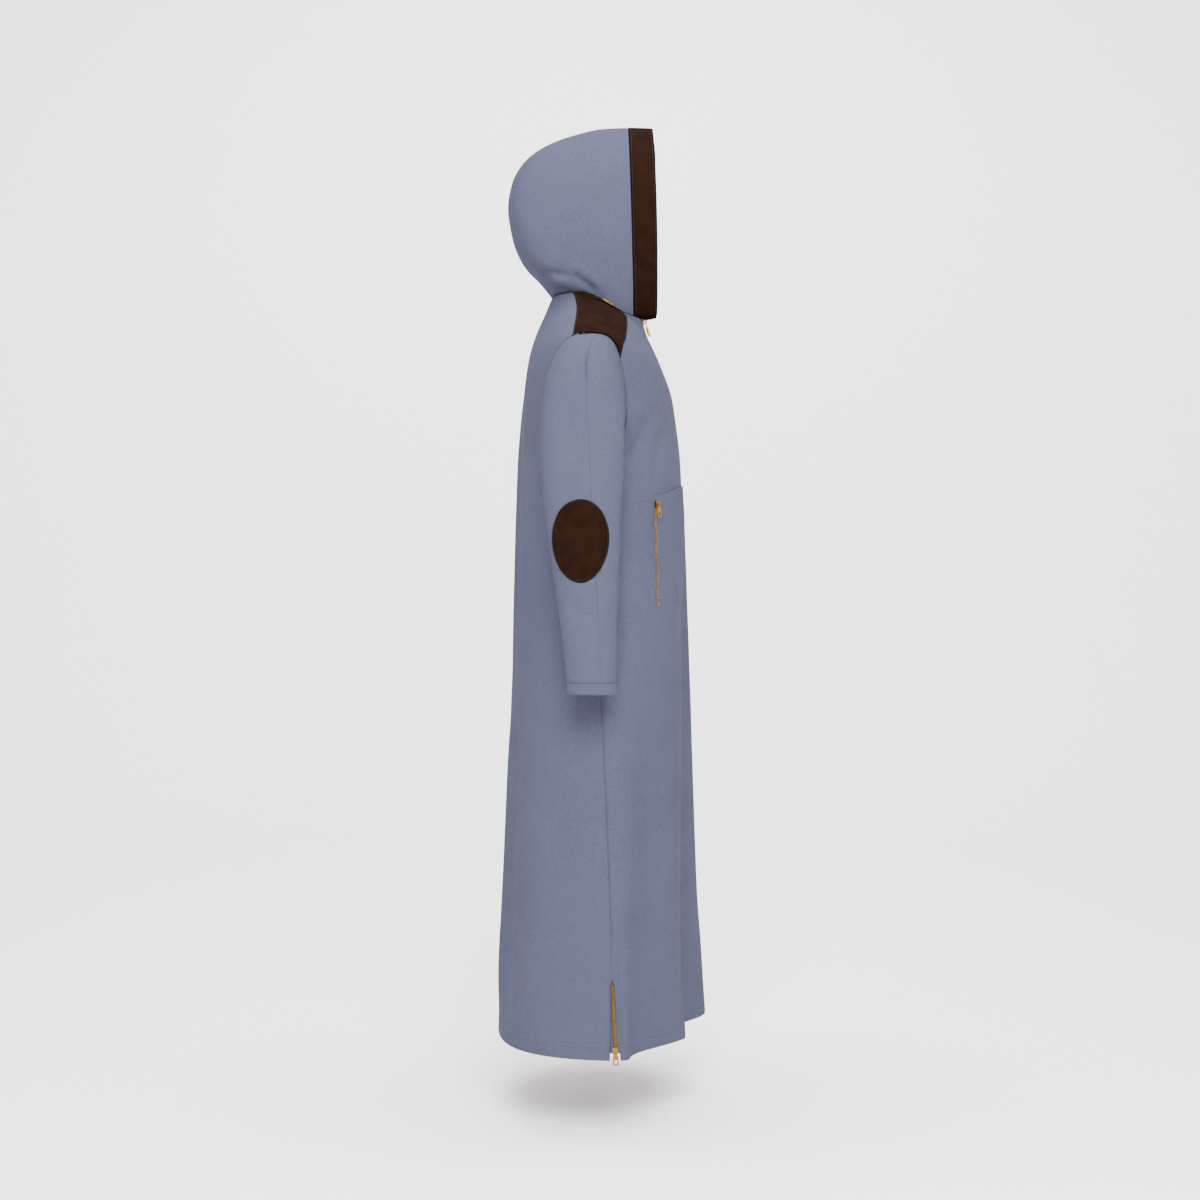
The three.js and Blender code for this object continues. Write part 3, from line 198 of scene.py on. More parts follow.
class BodyForm:
    """The body's surfaces on the wearer's left side."""

    neck_half_width = 80.0
    neck_middle = 5.0
    neck_back = 85.0
    neck_front = 82.0
    neck_height = Column(
        [0, 55, 70, 82, 90, 98, 108, 123, 145, 160, 180],
        [-3, -3, -4, -9, -14, -20, -30, -38, -43, -44, -42],
    )
    shoulder = columns([
        (0.0, 80, 5, -14),
        (0.22, 115, 8, -27),
        (0.44, 150, 12, -42),
        (0.65, 185, 16, -59),
        (0.83, 215, 19, -79),
        (1.0, 245, 21, -106),
    ])
    hole_top = (245.0, 21.0, -106.0)
    hole_bottom = (232.0, 12.0)
    hole_back = (86.0, 30.0, 0.6)
    hole_front = (-47.0, 22.0, 0.45)
    centre_lines = columns([
        (-3, 90, -60),
        (-42, 106, -77),
        (-81, 122, -90),
        (-119, 133, -107),
        (-156, 139, -122),
        (-194, 143, -135),
        (-232, 147, -141),
        (-307, 152, -150),
        (-363, 154, -153),
        (-420, 156, -156),
        (-570, 160, -160),
        (-758, 165, -165),
        (-946, 171, -170),
        (-1134, 179, -176),
        (-1228, 184, -180),
        (-1322, 188, -184),
        (-1360, 190, -186),
    ])
    side_seam = columns([
        (-330, 232, 12),
        (-400, 234, 8),
        (-470, 238, 5),
        (-570, 245, 2),
        (-731, 254, -2),
        (-915, 262, -10),
        (-1139, 270, -19),
        (-1225, 272, -21),
        (-1360, 275, -27),
    ])
    levels = columns([
        (0, -3, -42),
        (0.5, -75, -88),
        (1, -150, -145),
        (1.5, -240, -220),
        (2, -335, -297),
    ])
    skirt_front = Column(
        [-357, -420, -570, -758, -946, -1134, -1228, -1322, -1360],
        [-156, -162, -170, -179, -187, -196, -204, -211, -214],
    )
    set_back = (-30.0, 55.0, 38.0)
    valley = (-10.0, 17.0, 30.0, 52.0)
    waist_share = 0.35
    pleat_growth = 0.9
    hollows = ((-56.0, 36.0, 48.0), (58.0, 34.0, 34.0))
    hollow_growth = 1.5
    back_fullness = 0.28
    flush = (35.0, 60.0, 0.3)
    rounding = ((1.0, 0.45, 0.13), (2.0, 0.3, 0.05))

    @staticmethod
    def level_at(up: float) -> float:
        """The level of the body at a height under the armpit."""
        return 2 + (ARMPIT_UP - up) / (ARMPIT_UP - HEM_UP)

    @property
    def waist_level(self) -> float:
        """The level of the waist seam."""
        return self.level_at(WAIST_SIDE_UP)

    def neckline(self, angle: Array) -> Array:
        """Neckline points: an oval by the angle from the centre back, with its own heights."""
        turn = np.radians(angle)
        reach = np.where(np.asarray(angle) <= 90, self.neck_back, self.neck_front)
        forward = self.neck_middle + reach * np.cos(turn)
        return vector(self.neck_half_width * np.sin(turn), forward, self.neck_height(angle))

    def hole_middle(self, angle: Array) -> Array:
        """How far forward the middle of the armhole lies."""
        return mix(self.hole_bottom[1], self.hole_top[1], (1 + np.cos(np.radians(angle))) / 2)

    def armhole(self, angle: Array) -> Array:
        """Armhole points by the angle from the top: back positive, front negative.

        The height follows the cosine, the reach a power of the sine, and the
        hole is hollowed towards the neck by a power of the sine.
        """
        angle = np.asarray(angle, float)
        is_back = angle >= 0
        forward_most, hollow, squareness = [
            np.where(is_back, back, front) for back, front in zip(self.hole_back, self.hole_front)
        ]
        cosine = np.cos(np.radians(angle))
        sine = np.abs(np.sin(np.radians(angle)))
        share = (1 + cosine) / 2
        roundness = mix(1, squareness, share)
        reach = forward_most - self.hole_middle(90)
        forward = self.hole_middle(angle) + reach * sine**roundness
        across = self.hole_bottom[0] + (self.hole_top[0] - self.hole_bottom[0]) * share**2
        return vector(across - hollow * sine**0.9, forward, mix(ARMPIT_UP, self.hole_top[2], share))

    def edge(self, at: Array, is_back: bool) -> tuple[Array, Array]:
        """The cloth's edge on a level: shoulder seam to 1, armhole to 2, side seam to 3.

        Args:
            at: the levels.
            is_back: whether it is the back's edge.

        Returns:
            The points, and how far forward the middle of each level lies.
        """
        at = np.asarray(at, float)
        along = np.clip(at, 0, 1)
        seam = vector(*[part(along) for part in self.shoulder])
        angle = np.clip(at - 1, 0, 1) * 180
        hole = self.armhole(angle if is_back else -angle)
        up = mix(ARMPIT_UP, HEM_UP, np.clip(at - 2, 0, None))
        low = vector(self.side_seam[0](up), self.side_seam[1](up), up)
        point = np.where((at <= 1)[..., None], seam, np.where((at <= 2)[..., None], hole, low))
        middle = np.where(at <= 1, seam[..., 1], np.where(at <= 2, self.hole_middle(angle), low[..., 1]))
        return point, middle

    def centre(self, at: Array, is_back: bool) -> tuple[Array, Array]:
        """How far forward and how high the cloth's centre lies on a level."""
        at = np.asarray(at, float)
        back_up, front_up = (level(np.clip(at, 0, 2)) for level in self.levels)
        if is_back:
            up = np.where(at <= 2, back_up, mix(self.levels[0](2.0), HEM_UP, at - 2))
            return self.centre_lines[0](up), up
        to_waist = mix(self.levels[1](2.0), WAIST_FRONT_UP, (at - 2) / (self.waist_level - 2))
        to_hem = mix(WAIST_FRONT_UP, HEM_UP, (at - self.waist_level) / (3 - self.waist_level))
        up = np.where(at <= 2, front_up, np.where(at <= self.waist_level, to_waist, to_hem))
        return self.centre_lines[1](up), up

    @staticmethod
    def level_point(edge: Array, middle: Array, forward: Array, up: Array, turn: Array, last: Array) -> Array:
        """A point on an oval level: across by the sine of the turn, forward by its cosine."""
        sine = np.sin(turn) / np.sin(last)
        height = up + (edge[..., 2] - up) * sine**2
        return vector(edge[..., 0] * sine, middle + (forward - middle) * np.cos(turn), height)

    def eased(self, point: Array, turn: Array, at: Array, is_back: bool) -> Array:
        """The same point with the neckline's own heights on the first levels."""
        angle = np.degrees(turn if is_back else math.pi - turn)
        edge, middle = self.edge(np.zeros_like(turn), is_back)
        forward, up = self.centre(np.zeros_like(turn), is_back)
        plain = self.level_point(edge, middle, forward, up, turn, math.pi / 2)
        lift = (self.neck_height(angle) - plain[..., 2]) * (1 - smooth(0, NECK_EASE, at))
        return point + vector(0, 0, lift)

    def level_turns(self, at: Array, is_back: bool) -> tuple[Array, ...]:
        """Edge, middle, centre and last turn of each level."""
        edge, middle = self.edge(at, is_back)
        forward, up = self.centre(at, is_back)
        share = (edge[..., 1] - middle) / (forward - middle)
        return edge, middle, forward, up, np.arccos(np.clip(share, 0, 0.999))

    def panel(self, share: Array, at: Array, is_back: bool) -> Array:
        """Half of the body from its centre (0) to its edge (1)."""
        share, at = np.broadcast_arrays(np.asarray(share, float), np.asarray(at, float))
        edge, middle, forward, up, last = self.level_turns(at, is_back)
        turn = share * last
        return self.eased(self.level_point(edge, middle, forward, up, turn, last), turn, at, is_back)

    def back(self, share: Array, at: Array) -> Array:
        """The whole back, from the right edge (-1) to the left edge (1).

        Below the armpits the ovals grow fuller to the hem, by the square of
        the sine of the turn.
        """
        share, at = np.broadcast_arrays(np.asarray(share, float), np.asarray(at, float))
        point = self.panel(np.abs(share), at, True)
        _, middle = self.edge(at, True)
        fuller = self.back_fullness * smooth(2, 3, at) * np.sin(np.abs(share) * math.pi / 2) ** 2
        push = np.where(at > 2, (point[..., 1] - middle) * fuller, 0.0)
        return (point + vector(0, push, 0)) * vector(np.where(share < 0, -1, 1), 1, 1)

    def softened(self, surface: Surface) -> Surface:
        """A surface whose bends at the shoulder point and the armpit are rounded.

        Near those levels each point is the weighted mean of five points along
        the cloth; the mean narrows to nothing at the cloth's side edge.
        """

        def soft(share: Array, at: Array) -> Array:
            """The rounded surface."""
            share, at = np.broadcast_arrays(np.asarray(share, float), np.asarray(at, float))
            reach = sum(most * hill(at, middle, span) for middle, span, most in self.rounding)
            reach = reach * (1 - smooth(0.84, 1.0, np.abs(share)))
            total = 0
            for step, weight in ((-1.0, 0.14), (-0.5, 0.22), (0.0, 0.28), (0.5, 0.22), (1.0, 0.14)):
                total = total + weight * surface(share, at + step * reach)
            return total

        return soft

    def shoulders(self, forward: Array, at: Array) -> Array:
        """A point on the shoulders from its level and how far forward it lies."""
        forward, at = np.broadcast_arrays(np.asarray(forward, float), np.asarray(at, float))
        ridge = self.edge(np.minimum(at, 1), True)[0][..., 1]
        sides = []
        for is_back in (True, False):
            edge, middle, centre, up, last = self.level_turns(at, is_back)
            share = (forward - middle) / (centre - middle)
            turn = np.minimum(np.arccos(np.clip(share, 0, 1)), last)
            points = self.level_point(edge, middle, centre, up, turn, last)
            sides.append(self.eased(points, turn, at, is_back))
        return np.where((forward >= ridge)[..., None], *sides)

    def skirt(self, share: Array, at: Array) -> Array:
        """The front skirt from the right side seam (-1) to the left one (1).

        The centre line of the oval is the skirt's own, but at the sides of the
        waist seam it is the front tops'. Soft hills, which grow from the waist
        seam to the hem, set the right half back, make the valley of the pleat
        and hollow the cloth beside the side seams.
        """
        share, at = np.broadcast_arrays(np.asarray(share, float), np.asarray(at, float))
        edge, middle = self.edge(at, False)
        top_forward, up = self.centre(at, False)
        fall = (at - self.waist_level) / (3 - self.waist_level)
        angle = share * 90
        turn = np.radians(np.abs(angle))
        from_angle, to_angle, flush_fall = self.flush
        flush = smooth(from_angle, to_angle, np.abs(angle)) * (1 - smooth(0, flush_fall, fall))
        forward = mix(self.skirt_front(up), top_forward, flush)
        point = self.level_point(edge, middle, forward, up, turn, math.pi / 2)
        opened = mix(self.waist_share, 1, fall)
        valley_at, right_reach, left_reach, valley_depth = self.valley
        reach = np.where(angle < valley_at * opened, right_reach, left_reach) * opened
        depth = np.maximum(fall, 0) ** self.pleat_growth
        push = depth * self.set_back[2] * hill(angle, self.set_back[0], self.set_back[1])
        push = push + depth * valley_depth * hill(angle, valley_at * opened, reach)
        for middle_angle, hollow_reach, most in self.hollows:
            growth = np.maximum(fall, 0) ** self.hollow_growth
            push = push + growth * most * hill(angle, middle_angle, hollow_reach)
        return (point + vector(0, push, 0)) * vector(np.where(share < 0, -1, 1), 1, 1)


class HoodForm:
    """The hood's surface: a fan of arches from the face opening to the nape."""

    arches = columns([
        (0.0, 166, -104, 150, 96, -98, 314),
        (0.14, 145, -57, 148, 101, -52, 315),
        (0.28, 128, -16, 140, 104, -5, 313),
        (0.4, 115, 20, 132, 105, 45, 302),
        (0.52, 103, 52, 120, 105, 95, 284),
        (0.62, 94, 77, 106, 104, 138, 255),
        (0.71, 86, 92, 89, 102, 165, 211),
        (0.79, 79, 97, 70, 99, 173, 163),
        (0.86, 73, 92, 47, 95, 164, 105),
        (0.92, 68, 78, 26, 89, 145, 61),
        (0.96, 64, 62, 10, 81, 117, 31),
        (1.0, 60, 47.5, -3, 69.3, 90, -3),
    ])
    band_end = 0.14
    band_front_foot = (15.0, -107.0, -38.0)
    left_edge = (0.24, 0.26, 6.5)

    def __init__(self, body: BodyForm) -> None:
        """Takes the body, whose neckline the hood stands on."""
        self.body = body

    def foot(self, back: Array) -> Array:
        """Foot of an arch: on the neckline, but free of it in front of the band's end."""
        seam = self.body.neckline(self.arches[0](np.maximum(back, self.band_end)))
        share = np.clip(back / self.band_end, 0, 1)[..., None]
        return mix(np.array(self.band_front_foot), seam, share)

    def raw(self, part: Array, back: Array) -> Array:
        """Half of an arch, from its foot (0) to the centre seam (1).

        The width is an oval's. The other two coordinates are the curve of the
        second degree through the foot, the widest point and the top.
        """
        _, widest_y, widest_up, half_width, top_y, top_up = (column(back) for column in self.arches)
        foot = self.foot(back)
        half_width = np.maximum(half_width, foot[..., 0] + 1e-4)
        dip = np.arccos(foot[..., 0] / half_width)
        turn = mix(-dip, math.pi / 2, part)
        lift = (np.sin(turn) + np.sin(dip)) / (1 + np.sin(dip))
        widest = np.maximum(np.sin(dip) / (1 + np.sin(dip)), 0.02)
        from_foot = (lift - widest) * (lift - 1) / widest
        from_widest = lift * (lift - 1) / (widest * (widest - 1))
        from_top = lift * (lift - widest) / (1 - widest)
        forward = from_foot * foot[..., 1] + from_widest * widest_y + from_top * top_y
        up = from_foot * foot[..., 2] + from_widest * widest_up + from_top * top_up
        return vector(half_width * np.cos(turn), forward, up)

    def point(self, part: Array, back: Array) -> Array:
        """The same, eased onto the neckline on the last arches."""
        part, back = np.broadcast_arrays(np.asarray(part, float), np.asarray(back, float))
        nape = self.body.neckline(self.arches[0](1.0) * (1 - part))
        ease = smooth(0.8, 1, back)[..., None]
        return self.raw(part, back) + (nape - self.raw(part, np.ones_like(back))) * ease

    def whole(self, share: Array, back: Array) -> Array:
        """Both halves of an arch, from the right foot (-1) to the left one (1).

        The left half's front edge stands a little further forward near its top.
        """
        share, back = np.broadcast_arrays(np.asarray(share, float), np.asarray(back, float))
        point = self.point(1 - np.abs(share), back)
        middle, reach, forward = self.left_edge
        push = forward * hill(share, middle, reach) * (1 - back / self.band_end)
        return point * vector(np.where(share < 0, -1, 1), 1, 1) - vector(0, push, 0)


class SleeveForm:
    """The sleeve's surface on the wearer's left arm."""

    rings = columns([
        (0.0, 245, -106, 232, -330, 86, -47),
        (0.12, 275, -124, 243, -334, 97, -44),
        (0.25, 297, -163, 246, -353, 101, -43),
        (0.38, 309, -225, 249, -378, 102, -42),
        (0.5, 317, -300, 252, -412, 100, -41),
        (0.62, 325, -385, 256, -462, 94, -37),
        (0.74, 333, -480, 262, -528, 83, -34),
        (0.86, 344, -592, 272, -614, 69, -30),
        (1.0, 356, -710, 284, -712, 56, -27),
    ])
    blend_top = 0.3
    blend_armpit = 0.14
    seam_top = -3.0
    seam_cuff = -25.0
    egg_middle = (33.0, -470.0)
    egg_half = (48.0, 71.0)
    egg_narrowing = 0.07

    def __init__(self, body: BodyForm) -> None:
        """Takes the body, whose armhole the sleeve is set into."""
        self.body = body

    def ring(self, angle: Array, along: Array) -> Array:
        """A point on a ring of the arm, by the angle from its outer line."""
        outer_x, outer_up, inner_x, inner_up, back, front = (column(along) for column in self.rings)
        share = (1 + np.cos(np.radians(angle))) / 2
        forward = (back + front) / 2 + (back - front) / 2 * np.sin(np.radians(angle))
        return vector(mix(inner_x, outer_x, share), forward, mix(inner_up, outer_up, share))

    def point(self, angle: Array, along: Array) -> Array:
        """The same with the sleeve's head drawn onto the armhole."""
        angle, along = np.broadcast_arrays(np.asarray(angle, float), np.asarray(along, float))
        share = (1 + np.cos(np.radians(angle))) / 2
        reach = mix(self.blend_armpit, self.blend_top, share)
        t = np.clip(along / reach, 0, 1)
        ease = (1 - t * t * (3 - 2 * t))[..., None]
        gap = self.body.armhole(angle) - self.ring(angle, np.zeros_like(along))
        return self.ring(angle, along) + gap * ease

    def seam_angle(self, along: Array) -> Array:
        """Angle of the outer seam, which turns to the front towards the cuff."""
        return mix(self.seam_top, self.seam_cuff, np.clip(along, 0, 1) ** 2)

    def direction(self) -> Array:
        """Direction in which the sleeve leaves its last ring."""
        ends = [self.point(0.0, at) + self.point(180.0, at) for at in (0.97, 1.0)]
        return unit(ends[1] - ends[0])

    def at_place(self, forward: Array, up: Array) -> Array:
        """The outer side's point at a place seen from the side, found in steps."""
        along = np.full(np.shape(forward), 0.72)
        for _ in range(12):
            back, front = self.rings[4](along), self.rings[5](along)
            sine = np.clip((forward - (back + front) / 2) / ((back - front) / 2), -0.99, 0.99)
            angle = np.degrees(np.arcsin(sine))
            here = self.point(angle, along)[..., 2]
            slope = (self.point(angle, along + 0.01)[..., 2] - here) / 0.01
            along = along + (up - here) / slope
        return self.point(angle, along)

    def egg(self, s: Array, t: Array) -> Array:
        """A square of two shares laid out as an egg, narrower at its lower end."""
        x = s * np.sqrt(1 - t * t / 2)
        y = t * np.sqrt(1 - s * s / 2)
        width = self.egg_half[0] * (1 + self.egg_narrowing * y)
        return self.at_place(self.egg_middle[0] + width * x, self.egg_middle[1] + self.egg_half[1] * y)



class Facing(Enum):
    """The side of the thobe that a fold is drawn on."""

    RIGHT = "right"
    LEFT = "left"
    FRONT = "front"
    BACK = "back"


@dataclass(frozen=True)
class Fold:
    """A soft trough with a ridge beside it, along a line seen from one side.

    Attributes:
        facing: the side it is drawn on.
        line: its points: forward and up on the sides, across and up elsewhere.
        width: half the trough's width.
        depth: the trough's depth.
        ridge: the ridge's height as a share of the depth; its sign picks the side.
        fade: the share of the line over which each end fades.
    """

    facing: Facing
    line: tuple[tuple[float, float], ...]
    width: float
    depth: float
    ridge: float = 0.5
    fade: float = 0.3

    def height(self, points: Array) -> Array:
        """How far the cloth stands out at each point: trough below 0, ridge above.

        The trough is a bell curve of the distance from the line, and the ridge
        one of the distance from a line beside it.
        """
        x, y = points[..., 0], points[..., 1]
        if self.facing in (Facing.RIGHT, Facing.LEFT):
            flat = points[..., 1:]
            shown = smooth(40, 80, x if self.facing is Facing.LEFT else -x)
        else:
            flat = points[..., [0, 2]]
            shown = smooth(10, 40, y if self.facing is Facing.BACK else -y)
        line = np.asarray(self.line, float)
        lengths = np.linalg.norm(np.diff(line, axis=0), axis=1)
        before = np.concatenate([[0], np.cumsum(lengths)])
        best = np.full(flat.shape[:-1], 1e9)
        offset = np.zeros_like(best)
        place = np.zeros_like(best)
        for start, end, length, run in zip(line[:-1], line[1:], lengths, before):
            way = (end - start) / length
            t = np.clip((flat - start) @ way, 0, length)
            gap = flat - start - t[..., None] * way
            distance = np.linalg.norm(gap, axis=-1)
            signed = np.where(way[0] * gap[..., 1] - way[1] * gap[..., 0] < 0, -distance, distance)
            closer = distance < best
            best = np.where(closer, distance, best)
            offset = np.where(closer, signed, offset)
            place = np.where(closer, (t + run) / before[-1], place)
        beside = np.sign(self.ridge) * 1.9 * self.width
        trough = np.exp(-((offset / self.width) ** 2))
        crest = abs(self.ridge) * np.exp(-(((offset - beside) / (1.3 * self.width)) ** 2))
        taper = smooth(0, self.fade, place) * smooth(0, self.fade, 1 - place)
        return self.depth * (crest - trough) * taper * shown


def mirrored_folds(folds: Sequence[Fold], shift: float) -> list[Fold]:
    """The folds of the right side again on the left, moved a little and shallower."""
    return [
        Fold(
            Facing.LEFT,
            tuple((forward + shift, up + 2 * shift) for forward, up in fold.line),
            fold.width * 1.1,
            fold.depth * 0.85,
            -fold.ridge,
            fold.fade,
        )
        for fold in folds
        if fold.facing is Facing.RIGHT
    ]



class Socket:
    """One output of a material's nodes, with the signs of arithmetic."""

    def __init__(self, shader: "Shader", output: bpy.types.NodeSocket) -> None:
        """Wraps an output of the shader's nodes."""
        self.shader = shader
        self.output = output

    def _math(self, operation: str, *values: "Socket | float") -> "Socket":
        """A Math node on this socket's shader."""
        settings = {"operation": operation}
        return self.shader.node("ShaderNodeMath", settings, dict(enumerate(values)))

    def __add__(self, other: "Socket | float") -> "Socket":
        """Sum."""
        return self._math("ADD", self, other)

    __radd__ = __add__

    def __mul__(self, other: "Socket | float") -> "Socket":
        """Product."""
        return self._math("MULTIPLY", self, other)

    __rmul__ = __mul__

    def __sub__(self, other: "Socket | float") -> "Socket":
        """Difference."""
        return self._math("SUBTRACT", self, other)

    def __rsub__(self, other: "Socket | float") -> "Socket":
        """Difference, from the other value."""
        return self._math("SUBTRACT", other, self)

    def __truediv__(self, other: "Socket | float") -> "Socket":
        """Quotient."""
        return self._math("DIVIDE", self, other)

    def sine(self) -> "Socket":
        """Sine of an angle in radians."""
        return self._math("SINE", self)

    def size(self) -> "Socket":
        """The value without its sign."""
        return self._math("ABSOLUTE", self)

    def ramp(self, start: float, end: float, low: float = 0.0, high: float = 1.0) -> "Socket":
        """A smooth step from low to high between start and end."""
        settings = {"interpolation_type": "SMOOTHSTEP"}
        inputs = {"Value": self, "From Min": start, "From Max": end, "To Min": low, "To Max": high}
        return self.shader.node("ShaderNodeMapRange", settings, inputs, "Result")


class Shader:
    """A material's node tree, from its wrapped sockets to its surface."""

    def __init__(self, name: str) -> None:
        """Starts a material with one Principled shader."""
        self.material = bpy.data.materials.new(name)
        self.material.use_nodes = True
        self.tree = self.material.node_tree
        self.surface = self.tree.nodes["Principled BSDF"]

    def node(
        self, kind: str, settings: dict | None = None, inputs: dict | None = None, output: str | int = 0
    ) -> Socket:
        """Adds a node.

        Args:
            kind: the node's type.
            settings: its own settings, which are set first.
            inputs: values or links of its sockets, by name or number.
            output: the output that is wanted.

        Returns:
            The wrapped output.
        """
        made = self.tree.nodes.new(kind)
        for name, value in (settings or {}).items():
            setattr(made, name, value)
        for name, value in (inputs or {}).items():
            self.feed(made.inputs[name], value)
        return Socket(self, made.outputs[output])

    def feed(self, target: bpy.types.NodeSocket, value: "Socket | float | tuple") -> None:
        """Links a socket, or sets its value."""
        if isinstance(value, Socket):
            self.tree.links.new(value.output, target)
        else:
            target.default_value = value

    def colours(self, start: "tuple | Socket", end: "tuple | Socket", share: Socket) -> Socket:
        """A mix of two colours by a share."""
        made = self.tree.nodes.new("ShaderNodeMix")
        made.data_type = "RGBA"
        made.clamp_factor = True
        self.feed(made.inputs[0], share)
        self.feed(made.inputs[6], start)
        self.feed(made.inputs[7], end)
        return Socket(self, made.outputs[2])

    def noise(self, place: Socket, scale: float, detail: float = 2.0) -> Socket:
        """Noise of a scale, per metre."""
        inputs = {"Vector": place, "Scale": scale, "Detail": detail, "Roughness": 0.55}
        return self.node("ShaderNodeTexNoise", {}, inputs, "Fac")

    def object_place(self) -> Socket:
        """Object coordinates."""
        return self.node("ShaderNodeTexCoord", {}, {}, "Object")

    def cloth_place(self) -> tuple[Socket, Socket]:
        """Distances across and along the piece of cloth, in metres."""
        place = self.node("ShaderNodeUVMap", {"uv_map": "cloth"}, {}, "UV")
        split = self.tree.nodes.new("ShaderNodeSeparateXYZ")
        self.feed(split.inputs[0], place)
        return Socket(self, split.outputs[0]), Socket(self, split.outputs[1])

    def edge_distance(self) -> Socket:
        """Distance from the piece's nearest edge, in millimetres."""
        return self.node("ShaderNodeAttribute", {"attribute_name": "edge_mm"}, {}, "Fac")

    def bump(self, height: Socket, distance: float, strength: float = 1.0) -> Socket:
        """A bump of the surface, in metres."""
        inputs = {"Height": height, "Distance": distance, "Strength": strength}
        return self.node("ShaderNodeBump", {}, inputs, "Normal")

    def set(self, **values: "Socket | float | tuple") -> None:
        """Feeds the Principled shader's sockets, named with _ for a space."""
        for name, value in values.items():
            self.feed(self.surface.inputs[name.replace("_", " ")], value)


@dataclass(frozen=True)
class SlateCloth:
    """Fine matte slate cloth: a close plain weave with a faint bloom.

    Attributes:
        light: colour of the threads on top.
        deep: colour between them and where the dye is deeper.
        thread: spacing of the threads in metres.
        curl_scale: how many curls of the faint crepe figure there are in a metre.
        curl_turns: how close together the figure's lines are.
    """

    name: str = "slate_cloth_weave"
    light: tuple = (0.0455, 0.050, 0.0775, 1)
    deep: tuple = (0.0365, 0.0405, 0.0645, 1)
    thread: float = 0.00055
    curl_scale: float = 52.0
    curl_turns: float = 46.0

    def material(self) -> bpy.types.Material:
        """Builds the material: crossed threads, slubs and a slow change of tone."""
        shader = Shader(self.name)
        across, along = shader.cloth_place()
        turn = 2 * math.pi / self.thread
        over = (across * turn).sine()
        under = (along * turn).sine()
        weave = over * under * 0.5 + 0.5
        place = shader.object_place()
        stretched = shader.node(
            "ShaderNodeMapping", {"vector_type": "POINT"}, {"Vector": place, "Scale": (1, 1, 0.25)}
        )
        slub = shader.noise(stretched, 420, 3)
        cloud = shader.noise(place, 5, 3)
        curl = (shader.noise(place, self.curl_scale, 1) * self.curl_turns).sine().ramp(0.45, 0.98)
        tone = weave * 0.3 + slub * 0.35 + cloud.ramp(0.3, 0.7) * 0.25 + (1 - curl) * 0.24
        shader.set(
            Base_Color=shader.colours(self.deep, self.light, tone.ramp(0.15, 0.85)),
            Roughness=slub.ramp(0.2, 0.8, 0.82, 0.92),
            Specular_IOR_Level=0.05,
            Normal=shader.bump(weave * 0.5 + slub * 0.6 - curl * 1.3, 0.0002, 0.75),
        )
        return shader.material


@dataclass(frozen=True)
class BrownSuede:
    """Dark brown suede: a short nap, paler where it is brushed, darker within a few millimetres of its edge.
    """

    name: str = "brown_suede_nap"
    light: tuple = (0.0112, 0.0045, 0.0026, 1)
    deep: tuple = (0.0058, 0.0023, 0.0014, 1)
    edge: tuple = (0.0018, 0.0008, 0.0006, 1)
    pressed: float = 3.2

    def material(self) -> bpy.types.Material:
        """Builds the material: fibres, brushed patches and a darker band along the edge."""
        shader = Shader(self.name)
        place = shader.object_place()
        fibre = shader.noise(place, 1500, 3)
        brushed = shader.noise(place, 45, 4)
        nap = shader.colours(self.deep, self.light, fibre * 0.45 + brushed.ramp(0.3, 0.72) * 0.55)
        line = shader.edge_distance()
        # The colour darkens towards the edge colour within the band's width of the piece's edge.
        near = 1 - line.ramp(self.pressed - 1.4, self.pressed)
        shader.set(
            Base_Color=shader.colours(nap, self.edge, near * 0.8),
            Roughness=fibre.ramp(0.2, 0.8, 0.86, 0.97),
            Specular_IOR_Level=0.02,
            Normal=shader.bump(fibre * 0.6 + brushed * 0.5, 0.00025, 0.7),
        )
        return shader.material


@dataclass(frozen=True)
class GoldMetal:
    """Brushed gold-coloured metal with fine rubbing marks."""

    name: str = "gold_metal_brushed"
    light: tuple = (0.31, 0.172, 0.038, 1)
    deep: tuple = (0.16, 0.085, 0.018, 1)

    def material(self) -> bpy.types.Material:
        """Builds the material: a bright metal whose roughness and tone vary a little."""
        shader = Shader(self.name)
        place = shader.object_place()
        rubbed = shader.noise(place, 260, 4)
        fine = shader.noise(place, 1800, 2)
        shader.set(
            Base_Color=shader.colours(self.deep, self.light, rubbed.ramp(0.25, 0.75)),
            Metallic=1.0,
            Roughness=(rubbed * 0.5 + fine * 0.5).ramp(0.3, 0.7, 0.24, 0.4),
            Normal=shader.bump(fine, 0.00004, 0.5),
        )
        return shader.material


@dataclass(frozen=True)
class Thread:
    """Sewing thread, twisted and matte."""

    name: str
    colour: tuple

    def material(self) -> bpy.types.Material:
        """Builds the material: one colour with fine strands."""
        shader = Shader(self.name)
        strand = shader.noise(shader.object_place(), 2400, 2)
        dark = tuple(0.72 * part for part in self.colour[:3]) + (1,)
        shader.set(
            Base_Color=shader.colours(dark, self.colour, strand),
            Roughness=0.7,
            Normal=shader.bump(strand, 0.00005, 0.5),
        )
        return shader.material


@dataclass(frozen=True)
class PaleGround:
    """The matte pale floor and its curved wall."""

    name: str = "pale_ground"
    colour: tuple = (0.90, 0.875, 0.885, 1)

    def material(self) -> bpy.types.Material:
        """Builds the plain matte material."""
        shader = Shader(self.name)
        shader.set(Base_Color=self.colour, Roughness=0.95, Specular_IOR_Level=0.1)
        return shader.material


class Finishes:
    """The materials of the thobe, each made once."""

    def __init__(self) -> None:
        """Makes the materials."""
        self.cloth = SlateCloth().material()
        self.suede = BrownSuede().material()
        self.metal = GoldMetal().material()
        self.cloth_thread = Thread("slate_thread", (0.045, 0.05, 0.078, 1)).material()
        self.suede_thread = Thread("brown_thread", (0.005, 0.0025, 0.0016, 1)).material()
        self.tape = Thread("zip_tape", (0.03, 0.033, 0.05, 1)).material()



